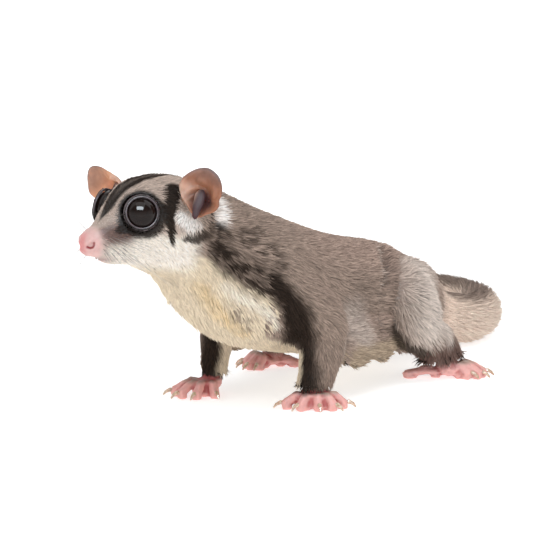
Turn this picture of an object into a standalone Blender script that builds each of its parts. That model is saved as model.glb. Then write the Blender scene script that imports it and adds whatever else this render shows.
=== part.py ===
"""A sugar glider at life size, standing on all fours with its head raised.

The animal faces -Y, its left side is +X and the floor is z = 0.  The coat's outer surface
is what is modelled, so each form includes its fur.  Sizes are named here in millimetres
and turned into metres by MM.  The points of the body are measured from the midpoint
between the fore feet, and the finished animal is moved so that the middle of its
bounding box's bottom is the origin.
"""
import math
import random

import bmesh
import bpy
import numpy as np
from mathutils import Matrix, Vector
from mathutils.bvhtree import BVHTree

MM = 0.001
GAP = 0.3 * MM
UP = Vector((0, 0, 1))
FORWARD = Vector((0, -1, 0))

# Head, turned a little to the animal's right and measured back from the tip of the nose
NOSE_TIP = Vector((-12.0, -67.0, 56.1))
HEAD_TURN = math.radians(16)
HEAD_BACK = Vector((math.sin(HEAD_TURN), math.cos(HEAD_TURN), 0))
HEAD_LEFT = Vector((math.cos(HEAD_TURN), -math.sin(HEAD_TURN), 0))
HEAD_LENGTH = 36.0
NOSE_LENGTH = 5.0
EYE_BACK, EYE_OUT, EYE_UP = 15.2, 7.0, 7.6
EYE_RADIUS = 4.9
LID_RADIUS = 4.75
LID_THICKNESS = 0.85
LID_LIFT = 3.2
EAR_THICKNESS = 0.9
EAR_DEPTH = 6.5
EAR_RINGS = 4
# Each ear's rim is a loop of places towards the head's middle and up from the ear's root
EARS = {
    "left": dict(
        root=(26.5, 16.6, 8.0), opening=math.radians(35), lean=math.radians(24), throat=(-0.4, 2.2),
        rim=[(0.1, -0.9), (3.0, 1.2), (5.3, 3.2), (6.5, 5.4), (6.1, 7.9), (4.8, 10.0), (3.0, 11.7),
             (1.0, 12.7), (-1.0, 12.7), (-3.1, 11.8), (-4.7, 9.9), (-5.6, 7.4), (-5.7, 5.6),
             (-5.9, 4.0), (-5.2, 2.2), (-3.6, 0.8), (-1.8, -0.9)]),
    "right": dict(
        root=(25.0, -18.0, 8.0), opening=0.0, lean=math.radians(52), throat=(0.6, 3.6),
        rim=[(-1.5, 1.0), (2.5, 0.5), (5.0, 1.6), (5.3, 3.4), (4.5, 5.4), (3.4, 7.8), (2.4, 10.2),
             (1.0, 12.7), (-0.8, 14.5), (-3.0, 15.2), (-5.4, 14.4), (-7.2, 12.6), (-8.0, 10.6),
             (-7.4, 8.2), (-6.4, 5.6), (-4.6, 2.8)]),
}

# Body, limbs and tail
NECK_BASE = Vector((-0.2, -17.0, 48.0))
TAIL_RADIUS = 9.2
WRIST_HEIGHT = 6.4
CLAW_LENGTH = 4.0
ANKLE_HEIGHT = 7.4
MEMBRANE_THICKNESS = 2.6
MEMBRANE_TOP = 27.0
MEMBRANE_HEM = 11.6
MEMBRANE_INSET = 17.6
MEMBRANE_FLARE = 5.6

# How fine each form is
BODY_VOXEL = 0.8 * MM
HEAD_VOXEL = 0.5 * MM
PAW_VOXEL = 0.3 * MM
BODY_FACES = 2640
HEAD_FACES = 1320
PAW_FACES = 330
TAIL_SIDES = 9

# Neck and body share these sections, so that they meet with the same outline
NECK_STATIONS = [
    (-2.9, -35.0, 56.5, 13.9, 15.0),
    (-1.4, -27.2, 51.8, 15.8, 17.0),
    (-0.4, -18.0, 45.5, 18.4, 19.0),
    (0.0, -5.4, 39.0, 19.6, 20.4),
    (0.3, 10.0, 33.8, 20.2, 20.2),
]
TRUNK_STATIONS = NECK_STATIONS[1:] + [
    (0.6, 26.0, 29.8, 21.3, 19.3),
    (1.0, 42.0, 27.0, 21.8, 18.4),
    (1.3, 57.0, 25.0, 21.2, 17.2),
    (1.7, 70.0, 21.6, 18.0, 14.6),
    (2.2, 79.5, 17.4, 13.6, 11.6),
    (3.6, 87.5, 14.6, 10.6, 9.9),
]
TAIL_ROUTE = [
    (2.2, 82.0, 16.8, 9.8),
    (5.0, 91.0, 14.0, 9.6),
    (8.4, 100.0, 11.0, 9.4),
    (10.2, 109.0, 9.2, 9.3),
    (9.2, 118.5, 8.7, 9.2),
    (4.6, 127.0, 8.7, 9.2),
    (-3.6, 133.4, 8.7, 9.2),
    (-14.4, 137.2, 8.7, 9.2),
    (-26.6, 138.2, 8.7, 9.2),
    (-39.0, 136.2, 8.6, 9.1),
    (-51.0, 131.2, 8.5, 9.0),
    (-61.4, 123.2, 8.4, 8.9),
    (-68.8, 112.6, 8.1, 8.6),
    (-71.8, 100.0, 7.6, 8.1),
    (-70.8, 87.6, 6.6, 7.1),
    (-67.4, 77.0, 5.2, 5.7),
    (-64.0, 70.0, 3.4, 3.9),
]
TAIL_CUT = Vector((5.1, 91.4, 14.0))
TAIL_WAY = Vector((0.28, 0.90, -0.32))

# The tail's coat: flat locks rooted in a core, in rings that overlap like shingles
CORE_SHARE = 0.62
LOCK_LENGTH = 16.5
LOCK_WIDTH = 6.2
LOCK_THICKNESS = 1.5
LOCK_SINK = 1.3
# How far along a lock each ring of its corners is, and its half width there
LOCK_SHAPE = [(0.0, 0.36), (0.34, 0.5), (0.7, 0.37)]
LOCKS_ROUND = 6
RING_SPACING = 12.2

# Limbs: stations of x, y, z, half width and half depth
LEFT_ARM = {
    "upper": [(9.5, -5.0, 42.0, 8.5, 10.0), (14.5, -1.5, 35.5, 7.6, 10.4),
              (18.5, 5.5, 28.0, 6.8, 9.0), (20.0, 10.5, 22.5, 6.0, 7.0)],
    "lower": [(17.8, 8.8, 24.0, 8.2, 8.8), (18.2, 8.0, 17.5, 7.3, 7.7),
              (18.2, 6.1, 10.5, 6.0, 6.5), (17.6, 4.6, 6.0, 5.6, 6.0),
              (17.4, 4.1, 3.0, 5.1, 5.5)],
    "wrist": (17.9, 4.9, WRIST_HEIGHT),
    "elbow": ((20.0, 10.2, 20.6), (0.1, 0.2, 1)),
    "reach": ((36, 0, 20), (28, 26, 40)),
}
RIGHT_ARM = {
    "upper": [(-9.5, -6.0, 41.0, 8.5, 10.0), (-13.6, -2.6, 34.5, 7.2, 9.2),
              (-17.2, 3.8, 27.0, 7.2, 8.0), (-18.8, 7.4, 21.0, 6.4, 6.8)],
    "lower": [(-19.0, 7.2, 22.5, 6.2, 6.6), (-18.5, 5.9, 16.0, 5.3, 5.8),
              (-17.6, 3.6, 10.0, 4.3, 4.8), (-17.0, 2.4, 6.0, 4.1, 4.5),
              (-16.8, 2.0, 3.0, 3.8, 4.2)],
    "wrist": (-17.0, 2.5, WRIST_HEIGHT),
    "elbow": ((-19.0, 6.3, 19.2), (-0.1, 0.2, 1)),
    "reach": ((-36, -1, 20), (26, 23, 39)),
}
LEFT_LEG = {
    "upper": [(7.0, 72.0, 20.5, 10.0, 11.0), (13.5, 64.0, 22.5, 12.6, 14.0),
              (18.6, 56.0, 23.0, 12.4, 15.4), (22.6, 51.0, 19.5, 10.2, 13.0),
              (25.6, 51.0, 15.5, 8.4, 10.0)],
    "lower": [(24.6, 51.5, 17.0, 8.0, 9.0), (27.8, 56.0, 13.5, 7.0, 7.8),
              (29.9, 60.0, 9.8, 5.8, 6.4), (30.9, 62.0, 6.8, 5.0, 5.4),
              (31.2, 62.6, 4.0, 4.4, 4.8)],
    "ankle": (30.7, 61.6, ANKLE_HEIGHT),
    "knee": ((27.6, 56.0, 13.4), (0.4, 0.5, -0.75)),
    "reach": ((38, 58, 18), (26, 24, 34)),
}
RIGHT_LEG = {
    "upper": [(-5.0, 72.0, 20.5, 10.0, 11.0), (-12.0, 63.0, 22.5, 12.6, 14.0),
              (-17.5, 52.5, 23.0, 12.4, 15.2), (-21.6, 44.0, 19.5, 9.8, 12.6),
              (-24.0, 40.0, 16.0, 7.6, 9.2)],
    "lower": [(-24.4, 39.0, 17.0, 6.4, 7.4), (-24.6, 42.5, 13.5, 5.8, 6.4),
              (-24.4, 45.4, 9.6, 4.6, 5.0), (-24.2, 46.4, 6.4, 4.2, 4.6),
              (-24.2, 46.6, 4.0, 3.8, 4.2)],
    "ankle": (-24.2, 46.2, ANKLE_HEIGHT),
    "knee": ((-24.6, 42.6, 13.0), (0, 0.35, -0.9)),
    "reach": ((-38, 50, 18), (26, 24, 34)),
}

HANDS = {
    "left": dict(palm=(19.2, 3.6, 3.0), wrist=LEFT_ARM["wrist"], spread=5.2, thick=1.5,
                 tips=[(10.3, -5.6), (17.4, -6.5), (24.9, -2.6), (29.5, 2.3), (30.0, 8.6)]),
    "right": dict(palm=(-17.6, 0.2, 3.0), wrist=RIGHT_ARM["wrist"], spread=4.4, thick=1.45,
                  tips=[(-9.5, -6.0), (-15.6, -11.8), (-21.8, -13.2), (-26.8, -10.6),
                        (-28.4, -4.4)]),
}
FEET = {
    "left": dict(palm=(31.4, 61.4, 3.1), wrist=LEFT_LEG["ankle"], spread=4.8, thick=1.6,
                 tips=[(41.8, 62.6), (44.2, 65.6), (43.6, 69.4), (39.6, 72.2)],
                 hallux=(20.4, 52.6)),
    "right": dict(palm=(-24.6, 43.6, 3.1), wrist=RIGHT_LEG["ankle"], spread=4.6, thick=1.6,
                  tips=[(-23.0, 32.4), (-26.6, 31.4), (-30.2, 32.8), (-33.0, 36.6)],
                  hallux=(-15.4, 48.4)),
}


def clear_scene():
    """Take away what the file starts with."""
    for old in list(bpy.data.objects):
        bpy.data.objects.remove(old, do_unlink=True)


def collection(name):
    """A new collection in the scene."""
    group = bpy.data.collections.new(name)
    bpy.context.scene.collection.children.link(group)
    return group


clear_scene()
ANIMAL = collection("sugar_glider")
HELPERS = collection("helpers")


def material(name, colour, roughness):
    """A plain finish of one colour."""
    finish = bpy.data.materials.new(name)
    finish.use_nodes = True
    shader = finish.node_tree.nodes["Principled BSDF"]
    shader.inputs["Base Color"].default_value = (*colour, 1)
    shader.inputs["Roughness"].default_value = roughness
    shader.inputs["Metallic"].default_value = 0
    finish.diffuse_color = (*colour, 1)
    return finish


FUR_GREY = material("fur_grey", (0.25, 0.20, 0.17), 0.9)
FUR_DARK = material("fur_dark", (0.06, 0.045, 0.04), 0.9)
FUR_CREAM = material("fur_cream", (0.75, 0.66, 0.52), 0.9)
FUR_TAIL = material("fur_tail", (0.42, 0.34, 0.28), 0.9)
SKIN_PINK = material("skin_pink", (0.62, 0.31, 0.27), 0.6)
SKIN_EAR = material("skin_ear", (0.42, 0.24, 0.19), 0.6)
EYE_BLACK = material("eye_black", (0.008, 0.006, 0.006), 0.08)
HORN_CLAW = material("horn_claw", (0.72, 0.62, 0.52), 0.35)


def mesh_object(name, points, faces, group=None):
    """A mesh object from points in millimetres."""
    mesh = bpy.data.meshes.new(name)
    mesh.from_pydata([Vector(point) * MM for point in points], [], faces)
    mesh.update()
    made = bpy.data.objects.new(name, mesh)
    (group or HELPERS).objects.link(made)
    return made


def remove(made):
    """Delete an object and its mesh."""
    mesh = made.data
    bpy.data.objects.remove(made, do_unlink=True)
    bpy.data.meshes.remove(mesh)


def settle(made):
    """Turn an object's modifiers into its mesh."""
    shown = made.evaluated_get(bpy.context.evaluated_depsgraph_get())
    finished = bpy.data.meshes.new_from_object(shown)
    old = made.data
    made.modifiers.clear()
    made.data = finished
    bpy.data.meshes.remove(old)
    return made


def copy_of(made, name="copy"):
    """A copy with its own mesh."""
    twin = bpy.data.objects.new(name, made.data.copy())
    HELPERS.objects.link(twin)
    return twin


def smooth_rows(rows, steps):
    """Rows of numbers with steps - 1 more between each two, on a Catmull-Rom curve."""
    rows = np.array(rows, dtype=float)
    ends = np.vstack([2 * rows[0] - rows[1], rows, 2 * rows[-1] - rows[-2]])
    smooth = []
    for index in range(len(rows) - 1):
        before, start, end, after = ends[index:index + 4]
        for step in range(steps):
            t = step / steps
            smooth.append(0.5 * (2 * start + (end - before) * t
                                 + (2 * before - 5 * start + 4 * end - after) * t * t
                                 + (3 * start - before - 3 * end + after) * t ** 3))
    smooth.append(rows[-1])
    return np.array(smooth)


def loft(name, stations, sides=20, steps=4, facing=UP, along=None, square=2.0, cap=0.6,
         rounding=(65, 35)):
    """A closed skin over stations of x, y, z, half width and half height.

    Each section lies across the path, or across along where that is given, with its
    height turned to facing.  square above 2 makes the sections boxier, cap is how far
    each round end bulges, as a share of its radius, and rounding is the angles round
    that bulge where it has a ring of points.
    """
    rows = smooth_rows(stations, steps)
    centres = rows[:, :3]
    slopes = np.gradient(centres, axis=0)
    angles = np.arange(sides) * 2 * math.pi / sides
    points = []
    rings = []

    def ring(centre, slope, width, height):
        """Add one section's points."""
        forth = Vector(along or slope).normalized()
        side = forth.cross(facing).normalized()
        over = side.cross(forth)
        start = len(points)
        for angle in angles:
            across = abs(math.cos(angle)) ** (2 / square) * math.copysign(1, math.cos(angle))
            upward = abs(math.sin(angle)) ** (2 / square) * math.copysign(1, math.sin(angle))
            points.append(Vector(centre) + side * (width * across) + over * (height * upward))
        rings.append(start)

    bulges = [math.radians(angle) for angle in rounding]
    first, last = rows[0], rows[-1]
    reach_first = cap * min(first[3], first[4])
    reach_last = cap * min(last[3], last[4])
    forth_first = Vector(slopes[0]).normalized()
    forth_last = Vector(slopes[-1]).normalized()
    for bulge in bulges:
        ring(Vector(first[:3]) - forth_first * (reach_first * math.sin(bulge)), slopes[0],
             first[3] * math.cos(bulge), first[4] * math.cos(bulge))
    for row, slope in zip(rows, slopes):
        ring(row[:3], slope, row[3], row[4])
    for bulge in reversed(bulges):
        ring(Vector(last[:3]) + forth_last * (reach_last * math.sin(bulge)), slopes[-1],
             last[3] * math.cos(bulge), last[4] * math.cos(bulge))
    tips = len(points)
    points.append(Vector(first[:3]) - forth_first * reach_first)
    points.append(Vector(last[:3]) + forth_last * reach_last)

    faces = []
    for start, after in zip(rings[:-1], rings[1:]):
        for index in range(sides):
            beside = (index + 1) % sides
            faces.append((start + index, start + beside, after + beside, after + index))
    for index in range(sides):
        beside = (index + 1) % sides
        faces.append((tips, rings[0] + beside, rings[0] + index))
        faces.append((tips + 1, rings[-1] + index, rings[-1] + beside))
    made = mesh_object(name, points, faces)
    face_outwards(made)
    return made


def face_outwards(made):
    """Turn every face of a closed mesh to the outside."""
    work = bmesh.new()
    work.from_mesh(made.data)
    bmesh.ops.recalc_face_normals(work, faces=work.faces)
    if work.calc_volume(signed=True) < 0:
        bmesh.ops.reverse_faces(work, faces=work.faces)
    work.to_mesh(made.data)
    work.free()


def ball(name, centre, radii, turn=None, detail=3):
    """An ellipsoid with radii along its own axes, in millimetres."""
    work = bmesh.new()
    bmesh.ops.create_icosphere(work, subdivisions=detail, radius=1)
    shape = Matrix.Diagonal((*[radius * MM for radius in radii], 1))
    place = Matrix.Translation(Vector(centre) * MM) @ (turn or Matrix()) @ shape
    bmesh.ops.transform(work, matrix=place, verts=work.verts)
    mesh = bpy.data.meshes.new(name)
    work.to_mesh(mesh)
    work.free()
    made = bpy.data.objects.new(name, mesh)
    HELPERS.objects.link(made)
    return made


def fuse(name, pieces, voxel, smoothing, faces):
    """One closed skin round all the pieces, blended where they meet."""
    work = bmesh.new()
    for piece in pieces:
        work.from_mesh(piece.data)
        remove(piece)
    mesh = bpy.data.meshes.new(name)
    work.to_mesh(mesh)
    work.free()
    made = bpy.data.objects.new(name, mesh)
    HELPERS.objects.link(made)
    remesh = made.modifiers.new("skin", "REMESH")
    remesh.mode = "VOXEL"
    remesh.voxel_size = voxel
    blend = made.modifiers.new("blend", "SMOOTH")
    blend.factor = 0.5
    blend.iterations = smoothing
    settle(made)
    return thin(made, faces)


def thin(made, faces):
    """Bring a mesh down to about so many triangles."""
    count = sum(len(face.vertices) - 2 for face in made.data.polygons)
    fewer = made.modifiers.new("fewer", "DECIMATE")
    fewer.ratio = min(1, faces / count)
    return settle(made)


def combine(target, tool, operation, solver="EXACT"):
    """Cut or join target with a closed tool."""
    change = target.modifiers.new(operation.lower(), "BOOLEAN")
    change.operation = operation
    change.solver = solver
    change.object = tool
    return settle(target)


def closed_pieces(made):
    """The separate closed surfaces of a mesh, largest first, as new objects."""
    work = bmesh.new()
    work.from_mesh(made.data)
    bmesh.ops.triangulate(work, faces=work.faces)
    seen = set()
    groups = []
    for first in work.verts:
        if first in seen:
            continue
        group, waiting = [], [first]
        seen.add(first)
        while waiting:
            corner = waiting.pop()
            group.append(corner)
            for edge in corner.link_edges:
                other = edge.other_vert(corner)
                if other not in seen:
                    seen.add(other)
                    waiting.append(other)
        groups.append(group)
    found = []
    for group in groups:
        number = {corner: index for index, corner in enumerate(group)}
        faces = [face for face in work.faces if face.verts[0] in number]
        mesh = bpy.data.meshes.new("piece")
        mesh.from_pydata([corner.co for corner in group], [],
                         [[number[corner] for corner in face.verts] for face in faces])
        piece = bpy.data.objects.new("piece", mesh)
        HELPERS.objects.link(piece)
        found.append((volume(piece), piece))
    work.free()
    found.sort(key=lambda pair: -pair[0])
    return [piece for size, piece in found]


def volume(made):
    """A mesh's signed volume."""
    work = bmesh.new()
    work.from_mesh(made.data)
    size = work.calc_volume(signed=True)
    work.free()
    return size


def largest(made):
    """Keep only a mesh's largest closed surface."""
    pieces = closed_pieces(made)
    for scrap in pieces[1:]:
        remove(scrap)
    remove(made)
    return pieces[0]


def turned_to(direction):
    """A turn that takes +Z to a direction."""
    return Vector(direction).to_track_quat("Z", "Y").to_matrix().to_4x4()


def disc(centre, direction, radius, thickness=GAP):
    """A thin round cutter, radius in millimetres."""
    work = bmesh.new()
    bmesh.ops.create_cone(work, cap_ends=True, segments=24, radius1=radius * MM,
                          radius2=radius * MM, depth=thickness)
    place = Matrix.Translation(Vector(centre) * MM) @ turned_to(direction)
    bmesh.ops.transform(work, matrix=place, verts=work.verts)
    mesh = bpy.data.meshes.new("disc")
    work.to_mesh(mesh)
    work.free()
    made = bpy.data.objects.new("disc", mesh)
    HELPERS.objects.link(made)
    return made


def part_at(whole, centre, direction, radius):
    """Cut a form in two with a thin disc: its larger and its smaller piece."""
    cutter = disc(centre, direction, radius)
    combine(whole, cutter, "DIFFERENCE")
    remove(cutter)
    pieces = closed_pieces(whole)
    for scrap in pieces[2:]:
        remove(scrap)
    remove(whole)
    return pieces[0], pieces[1]


def keep_beyond(made, centre, direction, radius):
    """Cut away what lies behind a plane, half a gap past it."""
    depth = 4 * radius * MM
    start = Vector(centre) - Vector(direction).normalized() * (depth / 2 / MM - GAP / 2 / MM)
    block = disc(start, direction, radius, depth)
    combine(made, block, "DIFFERENCE")
    remove(block)
    return largest(made)


def grown(made, distance):
    """A copy whose surface stands off by a distance."""
    twin = copy_of(made)
    mesh = twin.data
    normals = [corner.normal.copy() for corner in mesh.vertices]
    for corner, normal in zip(mesh.vertices, normals):
        corner.co += normal * distance
    return twin


def clear_of(made, neighbour, distance=GAP):
    """Trim a piece so that it stops just short of its neighbour.

    The grown copy may fold into itself in a crease, which the exact solver can't take.
    """
    cutter = grown(neighbour, distance)
    combine(made, cutter, "DIFFERENCE", "MANIFOLD")
    remove(cutter)
    return largest(made)


def part_by(whole, centre, radii, turn=None):
    """Part a form by an ellipsoid: what is left, and the piece inside it."""
    inside = ball("inside", centre, radii, turn, 3)
    beyond = grown(inside, GAP)
    piece = copy_of(whole)
    combine(piece, inside, "INTERSECT")
    combine(whole, beyond, "DIFFERENCE")
    remove(inside)
    remove(beyond)
    return largest(whole), largest(piece)


def finish(made, name, look, smooth=math.radians(50)):
    """Give a finished solid its name, its material and its place in the animal."""
    made.name = name
    made.data.name = name
    made.data.materials.clear()
    made.data.materials.append(look)
    HELPERS.objects.unlink(made)
    ANIMAL.objects.link(made)
    made.data.shade_smooth()
    made.data.set_sharp_from_angle(angle=smooth)
    return made


def head_point(back, left, up):
    """A point of the head, measured from the tip of the nose."""
    return NOSE_TIP + HEAD_BACK * back + HEAD_LEFT * left + UP * up


def head_rows(rows):
    """Head sections of back, half width, top and bottom as loft stations."""
    stations = []
    for back, width, top, bottom in rows:
        centre = head_point(back, 0, (top + bottom) / 2)
        stations.append((*centre, width, (top - bottom) / 2))
    return stations


def trunk():
    """The body from neck to tail root, with the limbs down to wrists and ankles."""
    pieces = [
        loft("neck", NECK_STATIONS, 28),
        loft("trunk", TRUNK_STATIONS, 32, square=2.2),
        loft("tail_root", [(*row[:3], row[3], row[3]) for row in TAIL_ROUTE[:4]], 22),
    ]
    for arm, leg in ((LEFT_ARM, LEFT_LEG), (RIGHT_ARM, RIGHT_LEG)):
        pieces.append(loft("upper_arm", arm["upper"], 20, facing=FORWARD))
        pieces.append(loft("forearm", arm["lower"], 20, facing=FORWARD))
        pieces.append(loft("thigh", leg["upper"], 24, facing=UP))
        pieces.append(loft("shin", leg["lower"], 20, facing=FORWARD))
    return fuse("body", pieces, BODY_VOXEL, 10, BODY_FACES)


def below(made, centre, radius):
    """Drop what reaches below a level cut, with half a gap above it."""
    block = disc(Vector(centre) - UP * (20 - GAP / 2 / MM), UP, radius, 40 * MM)
    combine(made, block, "DIFFERENCE")
    remove(block)
    return largest(made)


def body_nodes():
    """Torso, neck, upper arms, forearms, thighs, shins and the tail's root."""
    whole = trunk()
    for limb in (LEFT_ARM, RIGHT_ARM):
        whole = below(whole, limb["wrist"], 10)
    for limb in (LEFT_LEG, RIGHT_LEG):
        whole = below(whole, limb["ankle"], 9)
    outline = copy_of(whole)
    nodes = {}
    whole, nodes["tail_root"] = part_at(whole, TAIL_CUT, TAIL_WAY, 19)
    whole = keep_beyond(whole, head_point(HEAD_LENGTH, 0, 0), HEAD_BACK, 40)
    whole, nodes["neck"] = part_at(whole, NECK_BASE, (0.06, 0.82, -0.57), 30)
    for side, arm, leg in (("left", LEFT_ARM, LEFT_LEG), ("right", RIGHT_ARM, RIGHT_LEG)):
        whole, limb = part_by(whole, *arm["reach"])
        nodes["upper_arm_" + side], nodes["forearm_" + side] = part_at(limb, *arm["elbow"], 50)
        whole, limb = part_by(whole, *leg["reach"])
        nodes["thigh_" + side], nodes["shin_" + side] = part_at(limb, *leg["knee"], 50)
    nodes["torso"] = whole
    return nodes, outline


def head_solid():
    """The skull's outline with cheeks, muzzle, chin and lids, up to the neck."""
    skull = head_rows([
        (0.5, 2.4, 2.0, -2.6), (2.2, 3.5, 3.2, -3.9), (5.0, 4.5, 5.0, -4.7),
        (8.4, 6.0, 9.0, -5.9), (12.2, 8.0, 13.5, -6.9), (15.6, 9.9, 15.6, -8.0),
        (20.0, 12.0, 16.8, -9.8), (25.0, 13.6, 17.2, -12.0), (30.0, 13.8, 16.8, -14.4),
        (36.0, 14.2, 15.0, -17.0), (42.0, 14.4, 12.4, -18.6),
    ])
    pieces = [
        loft("skull", skull, 32, 4, along=HEAD_BACK, square=2.3, cap=0.5),
        loft("chin", head_rows([(5.8, 1.7, -4.2, -6.2), (9.0, 3.2, -4.0, -7.2),
                                (15.0, 5.0, -3.0, -8.0), (22.0, 6.0, -3.0, -9.4)]),
             16, 3, along=HEAD_BACK),
        loft("neck", NECK_STATIONS, 28),
    ]
    for side in (1, -1):
        eye, gaze = eye_place(side)
        pieces.append(ring_at(eye + gaze * LID_LIFT, gaze, LID_RADIUS, LID_THICKNESS))
    return fuse("head", pieces, HEAD_VOXEL, 6, HEAD_FACES)


def eye_place(side):
    """An eye's centre and the way it looks."""
    centre = head_point(EYE_BACK, EYE_OUT * side, EYE_UP)
    gaze = (HEAD_LEFT * (0.86 * side) - HEAD_BACK * 0.44 + UP * 0.20).normalized()
    return centre, gaze


def ring_at(centre, direction, radius, thickness):
    """A closed ring round a direction."""
    turn = turned_to(direction)
    points = []
    around, across = 32, 10
    for index in range(around):
        angle = 2 * math.pi * index / around
        for step in range(across):
            roll = 2 * math.pi * step / across
            reach = radius + thickness * math.cos(roll)
            local = Vector((reach * math.cos(angle), reach * math.sin(angle),
                            thickness * math.sin(roll)))
            points.append(Vector(centre) + turn @ local)
    faces = []
    for index in range(around):
        for step in range(across):
            corners = ((index, step), (index + 1, step), (index + 1, step + 1), (index, step + 1))
            faces.append([(a % around) * across + b % across for a, b in corners])
    made = mesh_object("ring", points, faces)
    face_outwards(made)
    return made


def on_surface(tree, point):
    """The nearest place on a surface to a point, and the normal there, in millimetres."""
    place, normal, index, distance = tree.find_nearest(Vector(point) * MM)
    return place / MM, normal


def surface_tree(made):
    """A search tree over an object's surface."""
    return BVHTree.FromObject(made, bpy.context.evaluated_depsgraph_get())


def head_nodes():
    """Head, nose, eyes and ears."""
    nodes = {}
    head = head_solid()
    neck_block = disc(head_point(HEAD_LENGTH + 30, 0, 0) + HEAD_BACK * (-GAP / 2 / MM),
                      HEAD_BACK, 60, 60 * MM)
    combine(head, neck_block, "DIFFERENCE")
    remove(neck_block)
    head = largest(head)
    tree = surface_tree(head)

    for side, name in ((1, "left"), (-1, "right")):
        mouth = [(4.6, 0.4, -5.0), (6.5, 4.0, -4.4), (10.0, 6.4, -4.3),
                 (13.5, 8.4, -4.6), (16.0, 9.6, -4.4)]
        groove = []
        for back, out, up in mouth:
            place, normal = on_surface(tree, head_point(back, out * side, up))
            groove.append((*(place + normal * 0.25), 0.7, 0.7))
        cutter = loft("mouth", groove, 8, 3)
        combine(head, cutter, "DIFFERENCE")
        remove(cutter)

        nostril = ball("nostril", head_point(1.5, 2.5 * side, -0.2), (0.7, 1.5, 1.0),
                       Matrix.Rotation(-HEAD_TURN - 0.5 * side, 4, "Z"), 2)
        combine(head, nostril, "DIFFERENCE")
        remove(nostril)

        eye, gaze = eye_place(side)
        socket = ball("socket", eye, (EYE_RADIUS + GAP / MM,) * 3)
        combine(head, socket, "DIFFERENCE")
        remove(socket)
        nodes["eye_" + name] = ball("eye", eye, (EYE_RADIUS,) * 3)
    head = largest(head)

    for side, name in ((1, "left"), (-1, "right")):
        nodes["ear_" + name] = clear_of(ear(side, **EARS[name]), head)
    nodes["head"], nodes["nose"] = part_at(head, head_point(NOSE_LENGTH, 0, 0),
                                           HEAD_BACK + UP * 0.12, 12)
    return nodes


def ear(side, root, opening, lean, throat, rim):
    """One thin cupped ear: opening is how far it faces outwards and lean how far it tips.

    The cup narrows from its rim to a throat, which is sunk in the head.
    """
    face = HEAD_LEFT * (math.sin(opening) * side) - HEAD_BACK * math.cos(opening)
    rise = HEAD_LEFT * (math.sin(lean) * side) + UP * math.cos(lean)
    rise = (rise - face * rise.dot(face)).normalized()
    inward = face.cross(rise) * side
    root = head_point(*root)
    points = [root + inward * throat[0] + rise * throat[1] - face * EAR_DEPTH]
    for ring in range(1, EAR_RINGS + 1):
        share = ring / EAR_RINGS
        depth = EAR_DEPTH * (1 - share) ** 1.4
        for spread, height in rim:
            across = throat[0] + (spread - throat[0]) * share
            up = throat[1] + (height - throat[1]) * share
            points.append(root + inward * across + rise * up - face * depth)
    faces = []
    count = len(rim)
    for corner in range(count):
        after = (corner + 1) % count
        faces.append((0, 1 + corner, 1 + after))
        for ring in range(EAR_RINGS - 1):
            low = 1 + ring * count
            high = low + count
            faces.append((low + corner, high + corner, high + after))
            faces.append((low + corner, high + after, low + after))
    made = mesh_object("ear", points, faces)
    wall = made.modifiers.new("wall", "SOLIDIFY")
    wall.thickness = EAR_THICKNESS * MM
    wall.offset = 0
    settle(made)
    face_outwards(made)
    return made


def paw(palm, wrist, tips, spread, thick, hallux=None):
    """A palm with its digits, and the claw of each, on a flat floor.

    palm is the middle of the sole and tips are where the claws end.  spread is the
    palm's half width, thick a digit's radius, and hallux the end of a toe with no claw.
    """
    palm = Vector(palm)
    wrist = Vector(wrist)
    ahead = sum((Vector((*tip, 0)) for tip in tips), Vector()) / len(tips) - palm
    ahead.z = 0
    ahead.normalize()
    pieces = [loft("palm", [
        (*(wrist + UP * 1.0), spread * 0.72, spread * 0.66),
        (*(wrist * 0.6 + palm * 0.4), spread * 0.82, spread * 0.66),
        (*(palm + UP * 0.3), spread, spread * 0.58),
        (*(palm + ahead * spread * 0.55), spread * 0.86, spread * 0.42),
    ], 16, 3, facing=ahead + UP * 0.2)]
    claws = []
    reaches = [(Vector((*tip, 0)), True) for tip in tips]
    if hallux:
        reaches.append((Vector((*hallux, 0)), False))
    for tip, clawed in reaches:
        way = tip - Vector((palm.x, palm.y, 0))
        length = way.length
        way.normalize()
        claw_length = CLAW_LENGTH if clawed else 0
        size = thick if clawed else thick * 1.35
        end = tip - way * (claw_length + (0 if clawed else size))
        root = palm + way * (spread * 0.45)
        knuckle = (root + Vector((end.x, end.y, palm.z))) / 2 + UP * 0.9
        pieces.append(loft("digit", [
            (*root, size * 1.05, size * 1.05),
            (*knuckle, size, size),
            (*(end + UP * (size + 0.5)), size * 0.95, size * 0.95),
            (*(end + way * size * 0.3 + UP * (size - 0.1)), size * 0.9, size * 0.9),
        ], 10, 3, cap=0.9))
        pieces.append(ball("pad", end + UP * (size * 0.55),
                           (size * 1.12, size * 1.12, size * 0.85), detail=2))
        pieces.append(ball("sole", palm + way * (spread * 0.8) - UP * (palm.z - 1.2),
                           (1.9, 1.9, 1.6), detail=2))
        if clawed:
            claws.append(loft("claw", [
                (*(end + way * (size * 0.4) + UP * (size + 0.3)), 0.72, 0.72),
                (*(end + way * (size + 0.5) + UP * (size + 0.7)), 0.62, 0.68),
                (*(end + way * (claw_length - 0.7) + UP * 1.6), 0.46, 0.5),
                (*(end + way * claw_length + UP * 0.75), 0.26, 0.26),
            ], 7, 1, cap=0.8, rounding=(50,)))
    made = fuse("paw", pieces, PAW_VOXEL, 2, PAW_FACES)
    floor = disc((palm.x, palm.y, -10), UP, 40, 20 * MM)
    combine(made, floor, "DIFFERENCE")
    remove(floor)
    top = disc(wrist + UP * (20 - GAP / 2 / MM), UP, 30, 40 * MM)
    combine(made, top, "DIFFERENCE")
    remove(top)
    made = largest(made)
    return made, [clear_of(claw, made) for claw in claws]


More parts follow.
